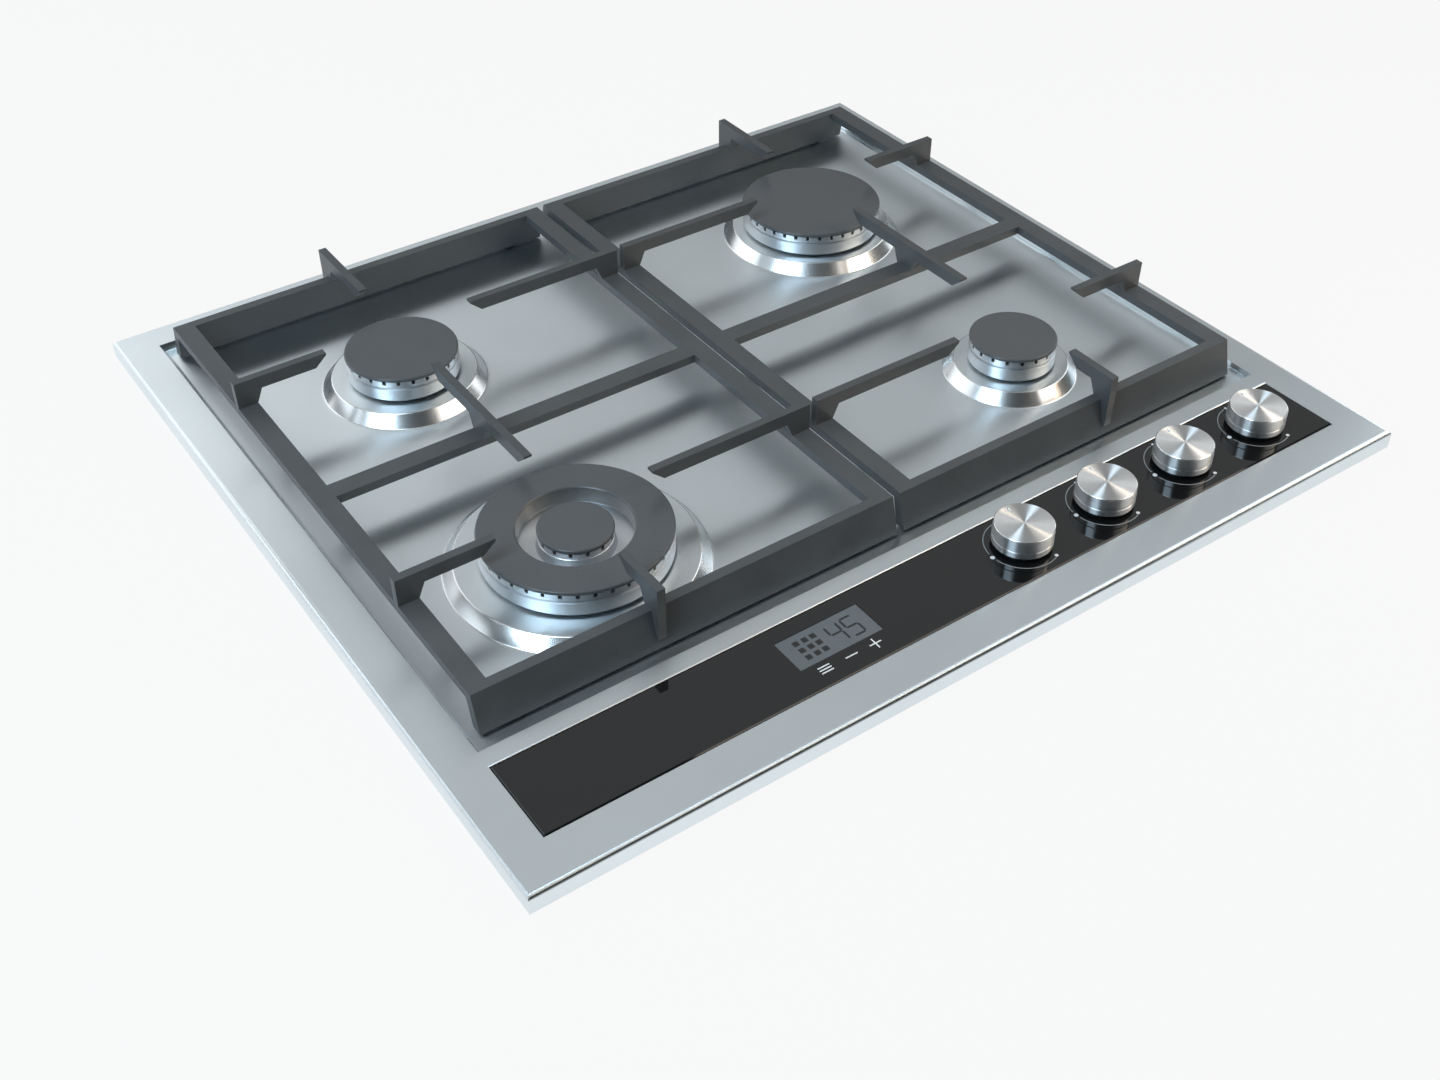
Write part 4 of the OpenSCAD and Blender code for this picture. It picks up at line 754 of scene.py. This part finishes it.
def buildCap(name, r, top, node, locate, hole=None):
    # a disc with a locating rim under it, or a ring round a hole
    h = headSizes
    seat = top - h["capThick"]
    profile = quarterRound(r, top, h["capRound"], 6) + [(r, seat + 0.3), (r - 0.3, seat)]
    x, y = burners[name]["x"], burners[name]["y"]
    if hole:
        lip = h["cupTop"] + h["floor"] + 3
        ringIn = h["ringHole"] + h["ringInset"] - h["lift"]
        profile += [(ringIn, seat), (ringIn, lip), (hole - 0.6, lip), (hole, seat - 0.5),
                    (hole + 0.1, top - 0.8), (hole + 0.9, top)]
    else:
        profile = [(0, top)] + profile + [(locate, seat), (locate, seat - 2), (locate - 2, seat - 2),
                                          (locate - 2, seat), (0, seat)]
    cap = turned(profile, x, y, 144)
    centreOrigin(cap, x, y)
    softenEdges(cap, h["capEdge"], 2, 35)
    settle(cap)
    smoothByAngle(cap, 35)
    names = ["capEnamel"]
    if hole:
        # the wall inside the hole is bare
        names.append("ringWallTurned")
        for polygon in cap.data.polygons:
            c = polygon.center
            if math.hypot(c.x, c.y) < (hole + 0.6) * mm and c.z < (top - 1) * mm:
                polygon.material_index = 1
    return dress(cap, names, "burnerCap_" + node, node, [node])


def buildBurners():
    h = headSizes
    for name, burner in burners.items():
        buildHead(name)
        locate = burner["cap"] - h["tierIn"] - h["wall"] - h["lift"]
        hole = h["ringHole"] if name == "front_left" else None
        buildCap(name, burner["cap"], h["capTop"], "cap_" + name, locate, hole)
    locate = h["innerCap"] - h["innerInset"] - h["innerWall"] - h["lift"]
    buildCap("front_left", h["innerCap"], h["capTop"] - h["innerDrop"], "cap_inner", locate)


buildBurners()
print("burners built")


# Knobs

knobSizes = {
    "radius": 17, "top": deck + 14.5, "foot": deck + 2.6, "wall": 2, "groove": deck + 6.4, "boss": 6.6,
    "bore": 4.06, "boreTop": deck + 11, "dimpleAt": 13.2, "dimple": 1.4, "dimpleHigh": 0.45, "edge": 0.7,
    "topIn": 0.15, "soft": 0.15}


def buildKnob(index):
    k = knobSizes
    r, top, foot, groove, x = k["radius"], k["top"], k["foot"], k["groove"], tapX[index]
    inner, ceiling = r - k["wall"], top - k["wall"]
    profile = [(0, top)] + quarterRound(r - k["topIn"], top, k["edge"], 4)
    profile += [(r, groove + 0.7), (r - 0.5, groove + 0.5), (r - 0.5, groove + 0.1), (r, groove - 0.1),
                (r, foot + 0.3), (r - 0.3, foot), (inner, foot), (inner - 0.4, ceiling), (k["boss"], ceiling),
                (k["boss"], foot + 1), (k["bore"], foot + 1), (k["bore"], k["boreTop"]), (0, k["boreTop"])]
    knob = turned(profile, x, tapY, 128)
    bpy.ops.mesh.primitive_uv_sphere_add(segments=32, ring_count=16, radius=k["dimple"] * mm)
    ball = bpy.context.object
    dimpleZ = top + k["dimple"] * k["dimpleHigh"]
    ball.data.transform(Matrix.Translation((x * mm, (tapY + k["dimpleAt"]) * mm, dimpleZ * mm)))
    combine(knob, ball, "DIFFERENCE")
    centreOrigin(knob, x, tapY)
    softenEdges(knob, k["soft"], 2, 30)
    settle(knob)
    smoothByAngle(knob, 30)
    # the wall has its own finer turned finish, darker in colour as painted shade, and the polished edge its
    # own, lighter in colour as a painted highlight
    for polygon in knob.data.polygons:
        c = polygon.center
        if math.hypot(c.x, c.y) > (r - 0.9) * mm and abs(polygon.normal.z) < 0.97:
            polygon.material_index = 2 if c.z > (top - k["edge"]) * mm else 1
    names, node = ["knobTurned", "knobSideTurnedPaintedShade", "knobEdgePolishedPaintedHighlight"], "knob_%d" % (index + 1)
    return dress(knob, names, "turnedKnob_%d" % (index + 1), node, [node])


for index in range(4):
    buildKnob(index)
print("knobs built")


# Prints on the glass, and the display

# arcs by their angles; dots by angle, distance and radius
printSizes = {
    "arc": 20.8, "line": 0.5, "thick": 0.05, "arcs": [(98, 172), (188, 291)],
    "dots": [(93, 21, 0.8), (180, 21, 1.35), (295, 20.2, 1.1)], "stroke": 0.8, "menuX": (-104.5, -97.2),
    "menuY": (-224.5, -226.45, -228.4), "minusX": (-88.1, -80.5), "minusY": -226.45, "plusAt": (-69, -226.5),
    "plusReach": 3.7}


def flatShape(outline, z, thick):
    return prism(outline, z, z + thick, lambda u, w, t: (u, w, t))


def arcBand(x, y, radius, width, a0, a1, z, thick, steps=40):
    angles = [math.radians(a0 + (a1 - a0) * i / steps) for i in range(steps + 1)]
    outer = [(x + (radius + width / 2) * math.cos(a), y + (radius + width / 2) * math.sin(a)) for a in angles]
    inner = [(x + (radius - width / 2) * math.cos(a), y + (radius - width / 2) * math.sin(a)) for a in angles]
    vertices = [(*p, h) for h in (z, z + thick) for p in outer + inner]
    n = len(angles)
    faces = []
    for i in range(n - 1):
        faces += [(i, i + 1, n + i + 1, n + i), (2 * n + i, 3 * n + i, 3 * n + i + 1, 2 * n + i + 1),
                  (i, 2 * n + i, 2 * n + i + 1, i + 1), (n + i, n + i + 1, 3 * n + i + 1, 3 * n + i)]
    faces += [(0, n, 3 * n, 2 * n), (n - 1, 3 * n - 1, 4 * n - 1, 2 * n - 1)]
    return tidyNormals(meshObject("arc", vertices, faces))


def disc(x, y, radius, z, thick, steps=32):
    angles = [2 * math.pi * i / steps for i in range(steps)]
    return flatShape([(x + radius * math.cos(a), y + radius * math.sin(a)) for a in angles], z, thick)


def bar(x0, x1, y):
    # a printed line from x0 to x1
    half = printSizes["stroke"] / 2
    return block(x0, y - half, deck, x1, y + half, deck + printSizes["thick"])


def buildPrints():
    p = printSizes
    arcs, dots = [], []
    for x in tapX:
        arcs += [arcBand(x, tapY, p["arc"], p["line"], a0, a1, deck, p["thick"]) for a0, a1 in p["arcs"]]
        for angle, radius, size in p["dots"]:
            a = math.radians(angle)
            dots.append(disc(x + radius * math.cos(a), tapY + radius * math.sin(a), size, deck, p["thick"]))
    signs = [bar(*p["menuX"], y) for y in p["menuY"]] + [bar(*p["minusX"], p["minusY"])]
    n, f, (plusX, plusY) = p["stroke"] / 2, p["plusReach"], p["plusAt"]
    plus = [(-f, -n), (-n, -n), (-n, -f), (n, -f), (n, -n), (f, -n), (f, n), (n, n), (n, f), (-n, f), (-n, n),
            (-f, n)]
    signs.append(flatShape([(plusX + u, plusY + w) for u, w in plus], deck, p["thick"]))
    dress(joined(arcs, "arcs"), ["greyPrint"], "knobArcs", "hob")
    dress(joined(dots + signs, "dots"), ["whitePrint"], "printedDots", "hob")


# digits and the squares beside them stand in the window, a little under the glass's top
displaySizes = {
    "x": -85.5, "y": -209.2, "w": 52.8, "d": 22.8, "sunk": 0.05, "thick": 0.03, "edge": 0.3, "digitW": 7.1,
    "stroke": 1.25, "gap": 0.16, "rows": (-202.6, -209.4, -216.4), "digits": [("4", -84.1), ("5", -74.0)],
    "squareX": (-102.6, -97.1, -91.9), "squareY": (-203.9, -209.4, -215.0), "square": 3.4}
segmentsOf = {"4": "fgbc", "5": "afgcd"}


def segmentOutline(x0, y0, x1, y1, stroke, gap):
    # one bar of a digit, with pointed ends
    along = Vector((x1 - x0, y1 - y0)).normalized()
    side = Vector((-along.y, along.x)) * stroke / 2
    a, b = Vector((x0, y0)) + along * gap, Vector((x1, y1)) - along * gap
    nose = along * stroke / 2
    return [tuple(v) for v in (a, a + nose + side, b - nose + side, b, b - nose - side, a + nose - side)]


def buildDisplay():
    d = displaySizes
    top, mid, low = d["rows"]
    level, halfW, halfD, half = deck - d["sunk"], d["w"] / 2, d["d"] / 2, d["square"] / 2
    window = block(d["x"] - halfW, d["y"] - halfD, panFloor, d["x"] + halfW, d["y"] + halfD, level)
    softenEdges(window, d["edge"], 2, 30)
    settle(window)
    dress(window, ["displayGrey"], "displayWindow", "hob", ["display_panel"])
    bars = []
    for digit, x0 in d["digits"]:
        x1 = x0 + d["digitW"]
        ends = {"a": (x0, top, x1, top), "g": (x0, mid, x1, mid), "d": (x0, low, x1, low),
                "f": (x0, mid, x0, top), "b": (x1, mid, x1, top), "c": (x1, low, x1, mid)}
        for letter in segmentsOf[digit]:
            bars.append(flatShape(segmentOutline(*ends[letter], d["stroke"], d["gap"]), level, d["thick"]))
    for x in d["squareX"]:
        for y in d["squareY"]:
            bars.append(block(x - half, y - half, level, x + half, y + half, level + d["thick"]))
    dress(joined(bars, "bars"), ["displaySegments"], "displayDigits", "hob")


buildPrints()
buildDisplay()
print("prints and display built")


# CAD nodes that keep their shape

tapNumbers = (1, 2, 3, 4)
keptNodes = {
    "blackGlass": ["control_glass"], "collarBlack": ["knob_collars", "cable_gland"],
    "boardGreen": ["timer_board"], "springSteel": ["touch_springs"], "traySteel": ["bottom_tray"],
    "fixingSteel": ["tray_nuts", "worktop_clamps", "clamp_screws", "tap_bonnets", "rail_brackets",
                    "cup_screws"],
    "railSteel": ["gas_rail"], "sealFoam": ["worktop_seal"], "sparkCeramic": ["igniters"],
    "sensorCopper": ["flame_sensors", "sensor_leads"], "moduleWhite": ["ignition_box"],
    "leadRed": ["ignition_leads"], "footRubber": ["grate_feet_left", "grate_feet_right"],
    # cups near black as painted shade for the gap under the heads
    "cupDarkPaintedShade": ["cup_" + name for name in burners],
    "pipeAluminium": ["feed_pipe_%d" % number for number in tapNumbers],
    "machinedBrass": ["gas_inlet", "injectors"] + [
        part + "_%d" % number for part in ("spindle", "plug", "tap_body") for number in tapNumbers]}
for finishName, nodes in keptNodes.items():
    for node in nodes:
        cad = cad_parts[node]
        if not cad.material_slots:
            cad.data.materials.append(finishes[finishName])
        for materialSlot in cad.material_slots:
            materialSlot.link = "OBJECT"
            materialSlot.material = finishes[finishName]
print("CAD finishes set:", sum(len(nodes) for nodes in keptNodes.values()))


# Worktop, lights, camera

worktopSizes = {
    "level": 46.3, "cutX": 280, "cutY": 245, "reach": 9000, "grey": 0.76, "roughness": 0.7, "specular": 0.1,
    "white": 0.955, "cameraShare": 0.93, "mirrorShare": 0.88, "shadeFrom": 263, "shadeRun": 8,
    "shadeRight": (120, 220), "shadeFacing": (0.42, 0.66), "shadeDepth": 0.85}


def lightPathMix(tree, shares):
    # the sum of the ray kinds, each times its share
    rays = tree.nodes.new("ShaderNodeLightPath")
    total = 0.0
    for label, share in shares.items():
        part = mathNode(tree, "MULTIPLY", rays.outputs[label], share)
        total = mathNode(tree, "ADD", part, total, clamp=True)
    return total


def frontShade(tree, w):
    # painted shade in the worktop, seen only by mirror rays: darker where metal mirrors the worktop at a flat
    # angle before the front edge, less to the right
    coords = tree.nodes.new("ShaderNodeTexCoord")
    x, y = splitVector(tree, coords.outputs["Object"])[:2]
    weight = tree.nodes.new("ShaderNodeLayerWeight")
    before = rampNode(tree, y, -w["shadeFrom"] * mm, -(w["shadeFrom"] + w["shadeRun"]) * mm)
    left = rampNode(tree, x, w["shadeRight"][1] * mm, w["shadeRight"][0] * mm)
    flat = rampNode(tree, weight.outputs["Facing"], *w["shadeFacing"])
    return mathNode(tree, "MULTIPLY", flat, mathNode(tree, "MULTIPLY", before, left))


def mixShaders(tree, share, first, second, output):
    node = tree.nodes.new("ShaderNodeMixShader")
    for socket, value in zip(node.inputs, (share, first.outputs[0], second.outputs[0])):
        tree.links.new(value, socket)
    tree.links.new(node.outputs[0], tree.nodes[output].inputs["Surface"])


def buildWorktop():
    # a floor with the cut-out for the hob, which glows for the camera and in what mirrors it
    w = worktopSizes
    a, b, r, z, mirror = w["cutX"], w["cutY"], w["reach"], w["level"], w["mirrorShare"]
    vertices = [(-r, -r, z), (r, -r, z), (r, r, z), (-r, r, z),
                (-a, -b, z), (a, -b, z), (a, b, z), (-a, b, z)]
    faces = [(i, (i + 1) % 4, 4 + (i + 1) % 4, 4 + i) for i in range(4)]
    worktop = meshObject("worktop", vertices, faces)
    material, tree, shader = newMaterial("worktopWhite", [w["grey"]] * 3, 0.0, w["roughness"], {
        "Specular IOR Level": w["specular"]})
    glow = tree.nodes.new("ShaderNodeEmission")
    glow.inputs["Color"].default_value = (w["white"], w["white"], w["white"], 1)
    # painted shade: the glow dims for mirror rays where metal mirrors the worktop flat before the front edge
    shade = frontShade(tree, w)
    mirrored = mathNode(tree, "ADD", mirror, mathNode(tree, "MULTIPLY", shade, 1 - mirror))
    share = lightPathMix(tree, {"Is Camera Ray": w["cameraShare"], "Is Glossy Ray": mirrored,
                                "Is Transmission Ray": mirror})
    seen = mathNode(tree, "MULTIPLY", shade, lightPathMix(tree, {"Is Glossy Ray": w["shadeDepth"]}))
    tree.links.new(mathNode(tree, "SUBTRACT", 1.0, seen), glow.inputs["Strength"])
    mixShaders(tree, share, shader, glow, "Material Output")
    worktop.data.materials.append(material)


buildWorktop()

# softboxes: azimuth and elevation in degrees and distance in metres from the middle of the plate, size in
# metres, and glow as the brightness of the lamp's face
lights = [
    {"name": "coolBox", "azimuth": 196, "elevation": 49, "distance": 2.4, "size": (0.95, 2.0), "glow": 5.4,
     "colour": (0.68, 0.86, 1.0)},
    {"name": "warmBox", "azimuth": -38, "elevation": 30, "distance": 0.85, "size": (0.11, 0.34), "glow": 4.6,
     "colour": (1.0, 0.8, 0.58)},
    {"name": "sideBox", "azimuth": -31, "elevation": 36, "distance": 1.11, "size": (0.2, 0.35), "glow": 2.8,
     "colour": (1.0, 0.9, 0.78)},
    {"name": "frontBox", "azimuth": -56, "elevation": 37, "distance": 2.4, "size": (1.1, 1.2), "glow": 1.6,
     "colour": (1.0, 0.93, 0.84)},
    {"name": "leftBox", "azimuth": 150, "elevation": 24, "distance": 2.4, "size": (1.5, 1.2), "glow": 1.0,
     "colour": (0.86, 0.94, 1.0)},
    {"name": "backBox", "azimuth": 112, "elevation": 20, "distance": 2.4, "size": (1.9, 1.7), "glow": 0.88,
     "colour": (0.95, 0.98, 1.0)},
    {"name": "rightBox", "azimuth": 7, "elevation": 25, "distance": 2.4, "size": (0.68, 2.3), "glow": 1.4,
     "colour": (0.95, 0.98, 1.0)}]
target = Vector((0, 0, deck * mm))
lampPower = 4  # watts that a square metre of lamp takes to show a brightness of 1


def buildLight(light):
    data = bpy.data.lights.new(light["name"], "AREA")
    data.shape = "RECTANGLE"
    data.size, data.size_y = light["size"]
    data.energy = lampPower * light["glow"] * data.size * data.size_y
    data.color = light["colour"]
    lamp = bpy.data.objects.new(light["name"], data)
    a, e = math.radians(light["azimuth"]), math.radians(light["elevation"])
    direction = Vector((math.cos(a) * math.cos(e), math.sin(a) * math.cos(e), math.sin(e)))
    lamp.location = target + light["distance"] * direction
    lamp.rotation_euler = (target - lamp.location).to_track_quat("-Z", "Y").to_euler()
    lamp.visible_camera = False
    bpy.context.scene.collection.objects.link(lamp)


for light in lights:
    buildLight(light)

# sky by height of the direction, from straight down at -1 to overhead at 1
skyStops = [(-1.0, (0.9, 0.9, 0.9)), (-0.04, (0.9, 0.9, 0.9)), (0.0, (0.0, 0.0, 0.0)),
            (0.18, (0.02, 0.02, 0.02)), (0.45, (0.35, 0.354, 0.356)), (0.6, (0.61, 0.618, 0.622)),
            (0.76, (0.76, 0.772, 0.776)), (0.88, (0.97, 0.985, 0.99)), (1.0, (0.97, 0.985, 0.99))]
# where the sky is brightest, how fast it falls off away from there, its strength, and what the camera sees
skySide = {"azimuth": 59, "power": 1.7, "gain": 1.03, "backdrop": 0.94}


def buildSky():
    world = bpy.data.worlds.new("studio")
    bpy.context.scene.world = world
    world.use_nodes = True
    tree = world.node_tree
    background = tree.nodes["Background"]
    coords = tree.nodes.new("ShaderNodeTexCoord")
    x, y, z = splitVector(tree, coords.outputs["Generated"])
    height = mathNode(tree, "MULTIPLY", mathNode(tree, "ADD", z, 1.0), 0.5)
    stops = [((level + 1) / 2, colour) for level, colour in skyStops]
    tree.links.new(colourRamp(tree, height, stops), background.inputs["Color"])
    angle = math.radians(skySide["azimuth"])
    across = mathNode(tree, "MULTIPLY_ADD", x, 0.5 * math.cos(angle), 0.5)
    side = mathNode(tree, "ADD", across, mathNode(tree, "MULTIPLY", y, 0.5 * math.sin(angle)), clamp=True)
    falloff = mathNode(tree, "POWER", side, skySide["power"])
    tree.links.new(mathNode(tree, "MULTIPLY", falloff, skySide["gain"]), background.inputs["Strength"])
    # the camera sees a plain pale backdrop above the worktop
    plain = tree.nodes.new("ShaderNodeBackground")
    plain.inputs["Color"].default_value = (skySide["backdrop"], skySide["backdrop"], skySide["backdrop"], 1)
    rays = tree.nodes.new("ShaderNodeLightPath")
    mixShaders(tree, rays.outputs["Is Camera Ray"], background, plain, "World Output")


buildSky()
bpy.context.scene.view_settings.view_transform = "Standard"

# place in millimetres, lens in millimetres, and the camera's own axes
cameraSizes = {
    "place": (-475.6, -670.65, 643.46), "lens": 41.09, "right": (0.8193, -0.57336, -0.00077),
    "up": (0.37547, 0.53551, 0.75647), "back": (-0.43332, -0.62007, 0.65403)}


def buildCamera():
    c = cameraSizes
    data = bpy.data.cameras.new("photoCamera")
    data.lens = c["lens"]
    data.sensor_width = 36
    data.sensor_fit = "HORIZONTAL"
    camera = bpy.data.objects.new("photoCamera", data)
    turn = Matrix((c["right"], c["up"], c["back"])).transposed().to_4x4()
    camera.matrix_world = Matrix.Translation(Vector(c["place"]) * mm) @ turn
    bpy.context.scene.collection.objects.link(camera)
    bpy.context.scene.camera = camera


buildCamera()
print("worktop, lights and camera set")
